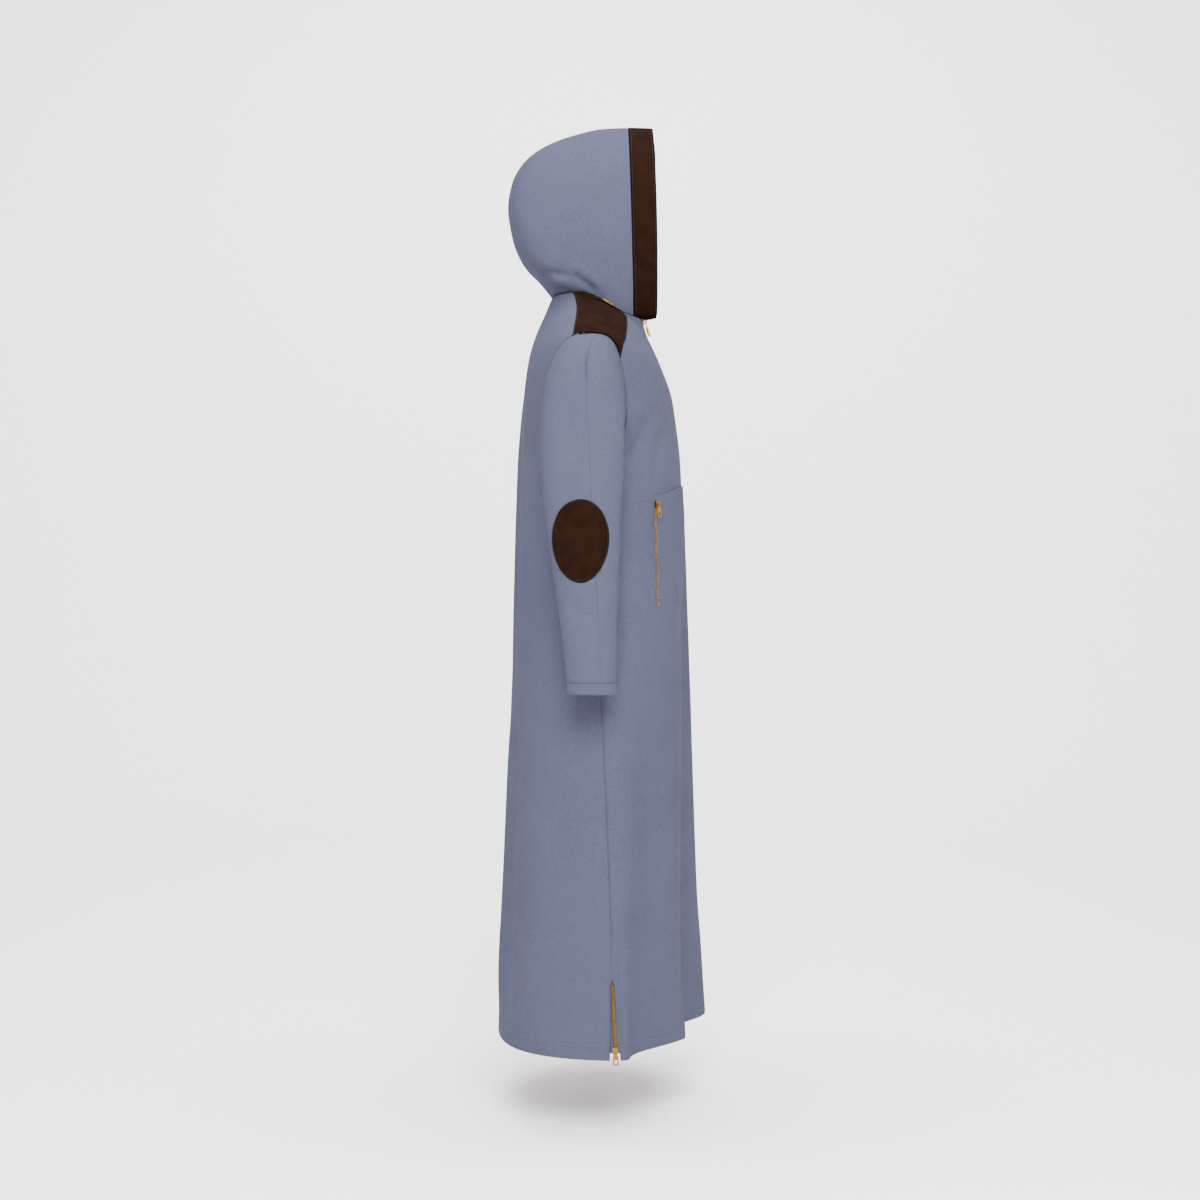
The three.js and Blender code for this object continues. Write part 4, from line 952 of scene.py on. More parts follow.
def make_object(
    name: str, points: Array, faces: Array, material: bpy.types.Material, is_smooth: bool = True
) -> bpy.types.Object:
    """Makes a mesh object from points in millimetres.

    Args:
        name: the piece's name.
        points: its points.
        faces: its faces, all with the same number of corners.
        material: its material.
        is_smooth: whether the faces are shaded smooth.

    Returns:
        The object, linked to the scene.
    """
    mesh = bpy.data.meshes.new(name)
    mesh.from_pydata(points * MM, [], faces)
    mesh.polygons.foreach_set("use_smooth", np.full(len(mesh.polygons), is_smooth))
    mesh.materials.append(material)
    mesh.update()
    made = bpy.data.objects.new(name, mesh)
    bpy.context.scene.collection.objects.link(made)
    return made


def ridden(piece: bpy.types.Object, slot: Slot, *nodes: str, body: str = BODY) -> bpy.types.Object:
    """Lets a piece ride on a body and hides the nodes that it stands for."""
    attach(piece, body)
    if nodes:
        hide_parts(*nodes)
    log.info("%s: %d faces", piece.name, len(piece.data.polygons))
    return piece


Trim = float | Callable[[Array], Array]


@dataclass
class Panel:
    """A wall of cloth over a surface of two parameters, with rolled edges.

    Attributes:
        surface: gives the points for the two parameters.
        us: places of the first parameter.
        vs: places of the second one.
        inside: a point within the garment, behind the cloth.
        wall: the cloth's thickness.
        proud: how far it stands in front of the surface.
        trims: how far the edges are drawn back: first and last u, first and last v.
        folds: soft troughs and ridges.
        rolls: how far each edge rolls back, in the same order.
        rolled: the width of the roll.
        grooves: pressed lines: their edge, distance from it and depth.
        closed: whether the last u meets the first.
    """

    surface: Surface
    us: Array
    vs: Array
    inside: tuple[float, float, float]
    wall: float = CLOTH_WALL
    proud: float = 0.0
    trims: tuple[Trim, Trim, Trim, Trim] = (CLOSE,) * 4
    folds: Sequence[Fold] = ()
    rolls: tuple[Trim, Trim, Trim, Trim] = (ROLL,) * 4
    rolled: float = 2.4
    grooves: Sequence[tuple[int, float, float]] = ()
    closed: bool = False
    way: float = field(default=1.0, init=False)

    def __post_init__(self) -> None:
        """Finds out which way the surface's own normal points."""
        u, v = np.meshgrid(self.us, self.vs)
        facing = (self.raw_normals(u, v) * (self.surface(u, v) - np.array(self.inside))).sum()
        self.way = 1.0 if facing > 0 else -1.0

    def raw_normals(self, u: Array, v: Array) -> Array:
        """Unit normals from the cross product of small steps along both parameters."""
        step = 1e-3 * np.array([self.us[-1] - self.us[0], self.vs[-1] - self.vs[0]])
        low = [min(self.us[0], self.us[-1]), min(self.vs[0], self.vs[-1])]
        high = [max(self.us[0], self.us[-1]), max(self.vs[0], self.vs[-1])]
        if self.closed:
            low[0], high[0] = -1e9, 1e9
        u0, u1 = (np.clip(u + way * step[0], low[0], high[0]) for way in (-1, 1))
        v0, v1 = (np.clip(v + way * step[1], low[1], high[1]) for way in (-1, 1))
        along_u = self.surface(u1, v) - self.surface(u0, v)
        along_v = self.surface(u, v1) - self.surface(u, v0)
        return unit(np.cross(along_u, along_v))

    def speed(self, axis: int, u: Array, v: Array) -> Array:
        """Millimetres of cloth for one unit of a parameter."""
        span = (self.us[-1] - self.us[0]) if axis == 0 else (self.vs[-1] - self.vs[0])
        step = 1e-3 * span
        place = u if axis == 0 else v
        last = self.us[-1] if axis == 0 else self.vs[-1]
        forward = np.where(np.abs(last - place) > abs(step) * 1.5, step, -step)
        moved = self.surface(u + forward, v) if axis == 0 else self.surface(u, v + forward)
        return np.maximum(np.linalg.norm(moved - self.surface(u, v), axis=-1) / abs(step), 1e-6)

    def grid(self) -> tuple[Array, Array]:
        """The parameters of the mesh, with the edges drawn back by the trims."""
        u, v = np.meshgrid(self.us, self.vs)
        span_u, span_v = self.us[-1] - self.us[0], self.vs[-1] - self.vs[0]
        if not self.closed:
            ends = []
            for place, trim, sign in ((self.us[0], self.trims[0], 1), (self.us[-1], self.trims[1], -1)):
                amount = trim(self.vs) if callable(trim) else np.full(len(self.vs), float(trim))
                at = np.full(len(self.vs), place)
                ends.append(place + sign * np.sign(span_u) * amount / self.speed(0, at, self.vs))
            share = (u - self.us[0]) / span_u
            u = ends[0][:, None] + (ends[1] - ends[0])[:, None] * share
        ends = []
        for place, trim, sign in ((self.vs[0], self.trims[2], 1), (self.vs[-1], self.trims[3], -1)):
            amount = trim(self.us) if callable(trim) else np.full(len(self.us), float(trim))
            at = np.full(len(self.us), place)
            ends.append(place + sign * np.sign(span_v) * amount / self.speed(1, self.us, at))
        share = (v - self.vs[0]) / span_v
        v = ends[0] + (ends[1] - ends[0]) * share
        return u, v

    def place(self, u: Array, v: Array, lift: float = 0.0) -> tuple[Array, Array]:
        """Points on the face of the cloth, folds included, and the normals there."""
        points = self.surface(u, v)
        normals = self.raw_normals(u, v) * self.way
        height = self.relief(points)
        return points + normals * (self.proud + height + lift)[..., None], normals

    def relief(self, points: Array) -> Array:
        """The sum of the folds at each point."""
        total = np.zeros(points.shape[:-1])
        for fold in self.folds:
            total = total + fold.height(points)
        return total

    def build(self, name: str, material: bpy.types.Material) -> bpy.types.Object:
        """Builds the mesh: the face, the same grid moved in by the wall, and the rims.

        The face sinks along the edges by the roll, and by each groove's depth
        at its own distance from its edge.
        """
        u, v = self.grid()
        points = self.surface(u, v)
        normals = self.raw_normals(u, v) * self.way
        run_u = np.linalg.norm(np.diff(points, axis=1), axis=-1).cumsum(axis=1)
        run_u = np.concatenate([np.zeros((len(points), 1)), run_u], axis=1)
        run_v = np.linalg.norm(np.diff(points, axis=0), axis=-1).cumsum(axis=0)
        run_v = np.concatenate([np.zeros((1, points.shape[1])), run_v], axis=0)
        distances = [run_u, run_u[:, -1:] - run_u, run_v, run_v[-1:] - run_v]
        if self.closed:
            distances[0] = distances[1] = np.full_like(run_u, 1e3)
        nearest = np.minimum.reduce(distances)
        height = self.relief(points)
        roll = np.zeros_like(nearest)
        for edge, (most, distance) in enumerate(zip(self.rolls, distances)):
            if callable(most):
                most = most(self.vs)[:, None] if edge < 2 else most(self.us)[None, :]
            roll = np.minimum(roll, -most * (1 - np.sqrt(np.clip(distance / self.rolled, 0, 1))))
        for edge, distance, depth in self.grooves:
            roll = roll - depth * np.exp(-(((distances[edge] - distance) / 1.1) ** 2))
        face = points + normals * (self.proud + height + roll)[..., None]
        lining = points + normals * (self.proud + height - self.wall)[..., None]
        rows, cols = u.shape
        behind = rows * cols
        wraps = cols if self.closed else cols - 1
        r, c = np.meshgrid(np.arange(rows - 1), np.arange(wraps), indexing="ij")
        r, c = r.ravel(), c.ravel()
        n = (c + 1) % cols
        quads = np.stack([r * cols + c, r * cols + n, (r + 1) * cols + n, (r + 1) * cols + c], axis=1)
        corners = np.stack([c, c + 1, c + 1, c], axis=1)
        levels = np.stack([r, r, r + 1, r + 1], axis=1)
        rim_c = np.arange(wraps)
        rim_n = (rim_c + 1) % cols
        top = np.stack([rim_n, rim_c, rim_c + behind, rim_n + behind], axis=1)
        base = (rows - 1) * cols
        bottom = np.stack([base + rim_c, base + rim_n, base + rim_n + behind, base + rim_c + behind], axis=1)
        rims = [top, bottom]
        rim_corners = [np.stack([rim_c + 1, rim_c, rim_c, rim_c + 1], axis=1)]
        rim_corners.append(np.stack([rim_c, rim_c + 1, rim_c + 1, rim_c], axis=1))
        rim_levels = [np.zeros((wraps, 4), int), np.full((wraps, 4), rows - 1)]
        if not self.closed:
            side_r = np.arange(rows - 1)
            start, end = side_r * cols, side_r * cols + cols - 1
            rims.append(np.stack([start, start + cols, start + cols + behind, start + behind], axis=1))
            rims.append(np.stack([end + cols, end, end + behind, end + cols + behind], axis=1))
            rim_corners += [np.zeros((rows - 1, 4), int), np.full((rows - 1, 4), cols - 1)]
            rim_levels.append(np.stack([side_r, side_r + 1, side_r + 1, side_r], axis=1))
            rim_levels.append(np.stack([side_r + 1, side_r, side_r, side_r + 1], axis=1))
        faces = np.concatenate([quads, quads[:, ::-1] + behind, *rims])
        corner_of = np.concatenate([corners, corners[:, ::-1], *rim_corners])
        level_of = np.concatenate([levels, levels[:, ::-1], *rim_levels])
        middle = rows // 2, cols // 2
        grid_normal = np.cross(
            face[middle[0], middle[1] + 1] - face[middle], face[middle[0] + 1, middle[1]] - face[middle]
        )
        if (grid_normal * normals[middle]).sum() < 0:
            faces, corner_of, level_of = faces[:, ::-1], corner_of[:, ::-1], level_of[:, ::-1]
        all_points = np.concatenate([face.reshape(-1, 3), lining.reshape(-1, 3)])
        made = make_object(name, all_points, faces, material)
        last = run_u[:, -1]
        if self.closed:
            gap = np.linalg.norm(points[:, 0] - points[:, -1], axis=-1)
            run_u = np.concatenate([run_u, (last + gap)[:, None]], axis=1)
        wide = run_u - run_u[:, -1:] / 2
        tall = run_v.mean(axis=1)
        uvs = np.stack([wide[level_of, corner_of], np.broadcast_to(tall[level_of], level_of.shape)], -1) * MM
        layer = made.data.uv_layers.new(name="cloth")
        layer.data.foreach_set("uv", uvs.reshape(-1, 2).ravel())
        edge = made.data.attributes.new("edge_mm", "FLOAT", "POINT")
        edge.data.foreach_set("value", np.tile(nearest.ravel(), 2))
        return made

    def edge_line(
        self, edge: int, inset: float, step: float, ends: float = 0.0, part: tuple[float, float] = (0.0, 1.0)
    ) -> tuple[Array, Array]:
        """A line on the cloth at a distance from one of its edges.

        Args:
            edge: 0 and 1 for the first and last u, 2 and 3 for the first and last v.
            inset: the distance from the edge.
            step: the spacing of the line's points.
            ends: how far from the neighbouring edges it stops.
            part: the part of the edge that it runs along.

        Returns:
            The points on the face, and their normals.
        """
        axis = 0 if edge < 2 else 1
        place = (self.us if axis == 0 else self.vs)[-1 if edge % 2 else 0]
        other = self.vs if axis == 0 else self.us
        fine = np.linspace(*(mix(other[0], other[-1], share) for share in part), 400)
        at = np.full_like(fine, place)
        pair = (at, fine) if axis == 0 else (fine, at)
        span = (self.us[-1] - self.us[0]) if axis == 0 else (self.vs[-1] - self.vs[0])
        sign = (-1 if edge % 2 else 1) * np.sign(span)
        moved = at + sign * inset / self.speed(axis, *pair)
        pair = (moved, fine) if axis == 0 else (fine, moved)
        points, normals = self.place(*pair)
        run = np.concatenate([[0], np.linalg.norm(np.diff(points, axis=0), axis=-1).cumsum()])
        count = max(int((run[-1] - 2 * ends) / step), 1)
        wanted = np.linspace(ends, run[-1] - ends, count + 1)
        line = np.stack([np.interp(wanted, run, points[:, n]) for n in range(3)], -1)
        across = np.stack([np.interp(wanted, run, normals[:, n]) for n in range(3)], -1)
        return line, unit(across)


@dataclass
class Sewing:
    """Rows of stitches, gathered into one piece."""

    pitch: float = 3.2
    length: float = 2.5
    radius: float = 0.32
    points: list[Array] = field(default_factory=list)
    faces: list[Array] = field(default_factory=list)
    count: int = 0

    def add(self, line: Array, normals: Array) -> None:
        """Adds a stitch on each point of a line.

        A stitch is a spindle: two rings of five points and two tips, turned
        along the line and half sunk in the cloth.

        Args:
            line: the points.
            normals: the cloth's normals there.
        """
        way = unit(np.gradient(line, axis=0))
        beside = unit(np.cross(normals, way))
        turn = np.arange(5) * 2 * math.pi / 5
        ring = np.stack([np.cos(turn), np.sin(turn)], -1) * self.radius
        places = [(-self.length / 2, 0, -0.2 * self.radius)]
        for along in (-0.3 * self.length, 0.3 * self.length):
            places += [(along, side, up + 0.35 * self.radius) for side, up in ring]
        places.append((self.length / 2, 0, -0.2 * self.radius))
        shape = np.array(places)
        bead = (
            line[:, None]
            + shape[None, :, :1] * way[:, None]
            + shape[None, :, 1:2] * beside[:, None]
            + shape[None, :, 2:] * normals[:, None]
        )
        one = []
        for n in range(5):
            m = (n + 1) % 5
            one += [(0, 1 + m, 1 + n), (11, 6 + n, 6 + m)]
            one += [(1 + n, 1 + m, 6 + m), (1 + n, 6 + m, 6 + n)]
        faces = np.array(one)
        stitched = len(line)
        starts = self.count + np.arange(stitched)[:, None, None] * len(shape)
        self.points.append(bead.reshape(-1, 3))
        self.faces.append((faces[None] + starts).reshape(-1, 3))
        self.count += stitched * len(shape)

    def build(self, name: str, material: bpy.types.Material, slot: Slot) -> bpy.types.Object:
        """Makes the rows one piece."""
        made = make_object(name, np.concatenate(self.points), np.concatenate(self.faces), material)
        return ridden(made, slot)


@dataclass
class Teeth:
    """The two rows of teeth of a zip, on a line.

    Attributes:
        pitch: spacing of the teeth of one row.
        reach: how far a tooth reaches from the middle line.
        height: its thickness.
        overlap: how far it passes the middle line.
    """

    pitch: float = 2.3
    reach: float = 2.6
    height: float = 1.5
    overlap: float = 0.7

    def build(self, name: str, line: Array, normals: Array, material: bpy.types.Material) -> bpy.types.Object:
        """Makes the teeth: six-sided wedges, set in turn from both sides.

        Args:
            name: the piece's name.
            line: the middle line, top first.
            normals: the cloth's normals there.
            material: the metal.

        Returns:
            The object.
        """
        run = np.concatenate([[0], np.linalg.norm(np.diff(line, axis=0), axis=-1).cumsum()])
        places = np.arange(self.pitch / 4, run[-1], self.pitch / 2)
        at = np.stack([np.interp(places, run, line[:, n]) for n in range(3)], -1)
        up = unit(np.stack([np.interp(places, run, normals[:, n]) for n in range(3)], -1))
        way = unit(np.gradient(at, axis=0))
        beside = unit(np.cross(up, way)) * np.where(np.arange(len(at)) % 2, 1, -1)[:, None]
        half = 0.36 * self.pitch
        sections = (
            (-self.overlap, 0.55, 0.55),
            (-self.overlap + 0.5, 0.8, 0.9),
            (self.reach - 0.6, 0.72, 1.0),
            (self.reach, 0.5, 0.6),
        )
        shape = np.array([
            (out, side * half * wide, lift * self.height * tall)
            for out, wide, tall in sections
            for side, lift in ((-1, 0.0), (-1, 0.65), (-0.55, 1.0), (0.55, 1.0), (1, 0.65), (1, 0.0))
        ])
        beads = (
            at[:, None]
            + shape[None, :, :1] * beside[:, None]
            + shape[None, :, 1:2] * way[:, None]
            + shape[None, :, 2:] * up[:, None]
        )
        one = []
        for ring in range(3):
            for n in range(6):
                m = (n + 1) % 6
                a, b, c, d = ring * 6 + n, ring * 6 + m, ring * 6 + 6 + m, ring * 6 + 6 + n
                one += [(a, b, c), (a, c, d)]
        one += [(0, 5, 4), (0, 4, 3), (0, 3, 2), (0, 2, 1)]
        one += [(18, 19, 20), (18, 20, 21), (18, 21, 22), (18, 22, 23)]
        faces = np.array(one)
        starts = np.arange(len(at))[:, None, None] * len(shape)
        turned = np.where((np.arange(len(at)) % 2)[:, None, None] == 1, faces[None, :, ::-1], faces[None])
        made = make_object(name, beads.reshape(-1, 3), (turned + starts).reshape(-1, 3), material, False)
        outward(made)
        return made


def outward(piece: bpy.types.Object) -> None:
    """Turns the faces of a piece's closed shells outwards."""
    shell = bmesh.new()
    shell.from_mesh(piece.data)
    bmesh.ops.recalc_face_normals(shell, faces=shell.faces)
    shell.to_mesh(piece.data)
    shell.free()


def rounded_copy(
    node: str, name: str, material: bpy.types.Material, width: float, body: str = BODY
) -> bpy.types.Object:
    """A copy of a hard node with rounded edges, which stands for the node.

    Args:
        node: the node's name.
        name: the piece's name.
        material: its material.
        width: the rounding's width in millimetres.
        body: the body that it rides on.

    Returns:
        The piece.
    """
    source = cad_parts[node]
    solid = source if isinstance(source, bpy.types.Object) else bpy.data.objects[node]
    mesh = solid.data.copy()
    shell = bmesh.new()
    shell.from_mesh(mesh)
    bmesh.ops.remove_doubles(shell, verts=shell.verts, dist=MERGE_DISTANCE)
    flat = math.radians(FLAT_ANGLE)
    bmesh.ops.dissolve_limit(shell, angle_limit=flat, verts=shell.verts, edges=shell.edges)
    shell.to_mesh(mesh)
    shell.free()
    mesh.materials.clear()
    mesh.materials.append(material)
    mesh.polygons.foreach_set("use_smooth", np.ones(len(mesh.polygons), bool))
    made = bpy.data.objects.new(name, mesh)
    bpy.context.scene.collection.objects.link(made)
    bevel = made.modifiers.new("rounding", "BEVEL")
    bevel.width = width * MM
    bevel.segments = ROUNDING_STEPS
    bevel.limit_method = "ANGLE"
    bevel.angle_limit = math.radians(SHARP_ANGLE)
    bevel.harden_normals = True
    return ridden(made, Slot.METAL, node, body=body)



class FoldPlan:
    """The folds and creases of the cloth, in millimetres."""

    side_folds = (
        Fold(Facing.RIGHT, ((-97, -217), (-72, -285), (-44, -340)), 13, 4.4, 0.5),
        Fold(Facing.RIGHT, ((-113, -250), (-104, -305), (-97, -360)), 9, 2.7, -0.5),
        Fold(Facing.RIGHT, ((118, -95), (116, -250), (112, -420), (108, -580)), 13, 4.1, 0.55),
        Fold(Facing.RIGHT, ((92, -330), (88, -470), (80, -640)), 15, 3.7, -0.5),
        Fold(Facing.RIGHT, ((-33, -1130), (-38, -1250), (-44, -1366)), 11, 5.1, 0.6, 0.2),
        Fold(Facing.RIGHT, ((60, -820), (70, -1080), (84, -1366)), 34, 5.4, 0.4, 0.25),
        Fold(Facing.RIGHT, ((-78, -640), (-88, -900), (-96, -1200)), 26, 4.1, -0.4, 0.3),
        Fold(Facing.RIGHT, ((-2, -700), (-11, -946), (-20, -1160), (-22, -1226)), 3.4, 1.5, -0.45, 0.08),
    )
    hood_folds = (
        Fold(Facing.RIGHT, ((111, 29), (82, 27), (52, 23)), 6, 4.4, 0.8, 0.25),
        Fold(Facing.RIGHT, ((95, 6), (86, -1), (76, -4)), 4, 2.6, 0.6, 0.3),
        Fold(Facing.RIGHT, ((62, 31), (38, 17), (12, -2), (-2, -14)), 8, 4.4, -0.8, 0.3),
        Fold(Facing.RIGHT, ((-20, -8), (-34, 30), (-40, 80)), 16, 2.0, 0.4, 0.4),
    )
    sleeve_folds = (
        Fold(Facing.RIGHT, ((21, -104), (22, -150), (23.5, -212)), 3.4, 2.4, 0.8, 0.35),
        Fold(Facing.RIGHT, ((76, -200), (60, -262), (34, -318)), 16, 3.2, 0.5, 0.4),
        Fold(Facing.RIGHT, ((66, -372), (44, -398), (12, -412)), 12, 2.9, 0.5, 0.4),
        Fold(Facing.RIGHT, ((64, -560), (40, -590), (6, -600)), 13, 2.9, -0.5, 0.4),
        Fold(Facing.RIGHT, ((-20, -590), (-12, -640), (4, -690)), 10, 2.2, 0.5, 0.4),
    )
    other_folds = (
        Fold(Facing.BACK, ((-70, -160), (-62, -420), (-84, -760)), 22, 4.5, 0.5),
        Fold(Facing.BACK, ((66, -190), (70, -450), (88, -800)), 22, 3.9, -0.5),
        Fold(Facing.BACK, ((-110, -760), (-128, -1060), (-150, -1366)), 30, 6.0, 0.5, 0.2),
        Fold(Facing.BACK, ((4, -620), (0, -980), (-6, -1366)), 34, 6.0, -0.5, 0.2),
        Fold(Facing.BACK, ((122, -820), (136, -1100), (150, -1366)), 28, 5.4, -0.5, 0.2),
        Fold(Facing.FRONT, ((70, -200), (52, -280), (26, -345)), 11, 2.7, 0.5),
        Fold(
            Facing.FRONT,
            ((-57, -480), (-60, -700), (-78, -900), (-93, -1100), (-104, -1366)),
            30, 9.0, 0.0, 0.12,
        ),
        Fold(Facing.FRONT, ((140, -620), (150, -900), (168, -1200)), 26, 4.2, 0.5),
    )

    def __init__(self) -> None:
        """Repeats the right side's folds on the left, a little uneven."""
        self.body = [*self.side_folds, *mirrored_folds(self.side_folds, 5.0), *self.other_folds]
        self.hood = [*self.hood_folds, *mirrored_folds(self.hood_folds, -3.0)]
        self.sleeve = [*self.sleeve_folds, *mirrored_folds(self.sleeve_folds, 4.0)]


@dataclass
class Robe:
    """The body of the thobe: back, two front tops, and the front skirt."""

    finishes: Finishes
    form: BodyForm
    plan: FoldPlan
    step: float = 6.5
    side_zip_top: float = -1228.0
    side_zip_widths: tuple[float, float] = (6.0, 19.0)
    front_zip_width: float = 6.2
    hem_ease: float = -4.5
    slit_ease: float = 0.2
    slit_start: float = 6.0
    slit_taper: float = 8.0
    inside: tuple[float, float, float] = (0.0, 0.0, -600.0)

    def zip_width(self, up: Array) -> Array:
        """Width of the side zip at a height."""
        share = np.clip((self.side_zip_top - up) / (self.side_zip_top - HEM_UP), 0, 1)
        return mix(self.side_zip_widths[0], self.side_zip_widths[1], share)

    def side_trim(self, at: Array) -> Array:
        """How far the panels are drawn back along their side edges."""
        up = mix(ARMPIT_UP, HEM_UP, at - 2)
        opened = self.zip_width(up) / 2 + SEAM_GAP + self.slit_ease
        top = self.side_zip_top + self.slit_start
        share = smooth(0, 1, (top - up) / self.slit_taper)
        return np.where((at < 2) | (up > top), CLOSE, mix(CLOSE, opened, share))

    def waist_roll(self, share: Array) -> Array:
        """Roll of the waist seam: it flattens from the pocket to the side."""
        return mix(ROLL, 0.04, smooth(0.5, 0.62, np.abs(share)))

    def fall_levels(self, first: float) -> Array:
        """Levels from a first one to the hem, close together by the hem's turning."""
        length = (3 - first) * (ARMPIT_UP - HEM_UP)
        even = spaced(first, 3.0, length, self.step)
        beside = np.array([-3, -1.5, -0.7, 0, 0.7, 1.5, 3])
        near = 3 - (HEM_TURNING + beside) / (ARMPIT_UP - HEM_UP)
        zipped = self.form.level_at(self.side_zip_top) + np.array([-0.006, -0.004, -0.002, 0.0, 0.002])
        return np.unique(np.concatenate([even, near, zipped]))

    def build(self) -> dict[str, Panel]:
        form = self.form
        levels = [spaced(0, 1, 178, self.step), spaced(1, 2, 225, 4.5), self.fall_levels(2.0)]
        shares = spaced(-1, 1, 620, self.step)
        hem = ((3, HEM_TURNING, 0.55),)
        back = Panel(
            form.softened(form.back), shares, np.unique(np.concatenate(levels)), self.inside,
            trims=(self.side_trim, self.side_trim, CLOSE, self.hem_ease), folds=self.plan.body, grooves=hem,
        )
        skirt = Panel(
            form.skirt, spaced(-1, 1, 690, self.step), self.fall_levels(form.waist_level), self.inside,
            trims=(self.side_trim, self.side_trim, CLOSE, self.hem_ease), folds=self.plan.body, grooves=hem,
            rolls=(ROLL, ROLL, self.waist_roll, ROLL),
        )
        panels = {"back_panel": back, "front_skirt": skirt}
        top_levels = np.unique(np.concatenate([
            spaced(0, 1, 120, 4.5), spaced(1, 2, 180, 4.0), spaced(2, form.waist_level, 70, 5.0),
        ]))
        for side in Side:
            front = form.softened(lambda share, at: form.panel(np.abs(share), at, False))
            panels["front_top_" + side.word] = Panel(
                lambda share, at, side=side, front=front: sided(front(share, at), side),
                spaced(0, 1, 290, 5.0), top_levels, self.inside,
                trims=(self.front_zip_width / 2 + SEAM_GAP, *(CLOSE,) * 3), folds=self.plan.body,
                rolls=(ROLL, ROLL, ROLL, self.waist_roll),
            )
        for name, panel in panels.items():
            piece = panel.build("cloth_" + name, self.finishes.cloth)
            ridden(piece, Slot.CLOTH, name)
        return panels


@dataclass
class Hood:
    """The hood's two halves and the suede band round the face opening."""

    finishes: Finishes
    form: HoodForm
    plan: FoldPlan
    step: float = 5.5
    inside: tuple[float, float, float] = (0.0, 20.0, 140.0)
    band_proud: float = 0.8

    def build(self) -> dict[str, Panel]:
        """Builds the halves and the band."""
        form = self.form
        panels = {}
        for side in Side:
            panels["hood_" + side.word] = Panel(
                lambda part, back, side=side: sided(form.point(part, back), side),
                spaced(0, 1, 330, self.step), spaced(form.band_end, 1, 330, self.step), self.inside,
                trims=(CLOSE, CLOSE, CLOSE, CLOSE), folds=self.plan.hood, rolls=(ROLL, 0.4, ROLL, ROLL),
            )
        panels["hood_band"] = Panel(
            form.whole, spaced(-1, 1, 840, self.step), spaced(0, form.band_end, 46, 4.5, (0.8, 1.8, 3.2)),
            self.inside, wall=BAND_WALL, proud=self.band_proud,
            trims=(SEAM_GAP, SEAM_GAP, 0.0, CLOSE), rolls=(0.9,) * 4, rolled=2.6,
            grooves=((2, 4.2, 0.35), (3, 4.2, 0.35)),
        )
        for name, panel in panels.items():
            is_band = name == "hood_band"
            piece = panel.build("cloth_" + name, self.finishes.suede if is_band else self.finishes.cloth)
            ridden(piece, Slot.SUEDE if is_band else Slot.CLOTH, name)
        return panels


@dataclass
class Sleeves:
    """Both sleeves, their cuffs and the elbow patches."""

    finishes: Finishes
    form: SleeveForm
    plan: FoldPlan
    step: float = 5.5
    cuff_depth: float = 20.0
    cuff_proud: float = 0.6
    egg_lift: float = 0.8
    cuts = {"back": ((0.21, 0.66), 0.098), "front": ((0.17, 0.66), 0.08)}

    def build(self) -> dict[str, Panel]:
        """Builds the sleeves' halves, the cuffs and the patches."""
        panels = {}
        for side in Side:
            panels.update(self.halves(side))
            panels["cuff_" + side.word] = self.cuff(side)
            panels["elbow_patch_" + side.word] = self.patch(side)
        return panels

    def halves(self, side: Side) -> dict[str, Panel]:
        """The back and front half of one sleeve."""
        form = self.form
        panels = {}
        for part, last in (("back", 180.0), ("front", -180.0)):
            name = f"sleeve_{part}_{side.word}"
            panels[name] = Panel(
                lambda share, along, last=last: sided(
                    form.point(mix(form.seam_angle(along), last, share), along), side
                ),
                spaced(0, 1, 170, self.step), spaced(0, 1, 620, self.step),
                (side.value * 270.0, 25.0, -380.0),
                trims=(CLOSE, CLOSE, SLEEVE_TRIM, CLOSE), folds=self.plan.sleeve, rolls=(0.2, 0.5, ROLL, 0.5),
            )
            piece = panels[name].build("cloth_" + name, self.finishes.cloth)
            ridden(piece, Slot.CLOTH, name)
        return panels

    def cuff(self, side: Side) -> Panel:
        """The turned cuff: the last ring carried on along the arm."""
        form = self.form
        down = form.direction()

        def surface(angle: Array, drop: Array) -> Array:
            """The last ring moved along the arm."""
            drop = np.asarray(drop, float)
            return sided(form.point(angle, np.ones_like(drop)) + drop[..., None] * down, side)

        middle = surface(0.0, 10.0) / 2 + surface(180.0, 10.0) / 2
        panel = Panel(
            surface, np.linspace(0, 360, 72, endpoint=False),
            spaced(SEAM_GAP, self.cuff_depth, 20, 3.0, (0.7, 1.6, 2.6)),
            tuple(middle), proud=self.cuff_proud, trims=(0.0,) * 4, closed=True, rolls=(0.8,) * 4,
            grooves=((2, 4.0, 0.3),),
        )
        piece = panel.build("cloth_cuff_" + side.word, self.finishes.cloth)
        ridden(piece, Slot.CLOTH, "cuff_" + side.word)
        return panel

    def patch(self, side: Side) -> Panel:
        """The egg-shaped suede patch at the elbow."""
        form = self.form
        edges = (0.02, 0.05, 0.09)
        places = spaced(-1, 1, 2.0, 0.07, edges)
        panel = Panel(
            lambda s, t: sided(form.egg(s, t), side), places, places, (side.value * 270.0, 25.0, -470.0),
            wall=PATCH_WALL, proud=PATCH_WALL + self.egg_lift, trims=(0.0,) * 4,
            folds=self.plan.sleeve, rolls=(0.9,) * 4, rolled=2.6,
        )
        piece = panel.build("suede_elbow_patch_" + side.word, self.finishes.suede)
        ridden(piece, Slot.SUEDE, "elbow_patch_" + side.word)
        return panel


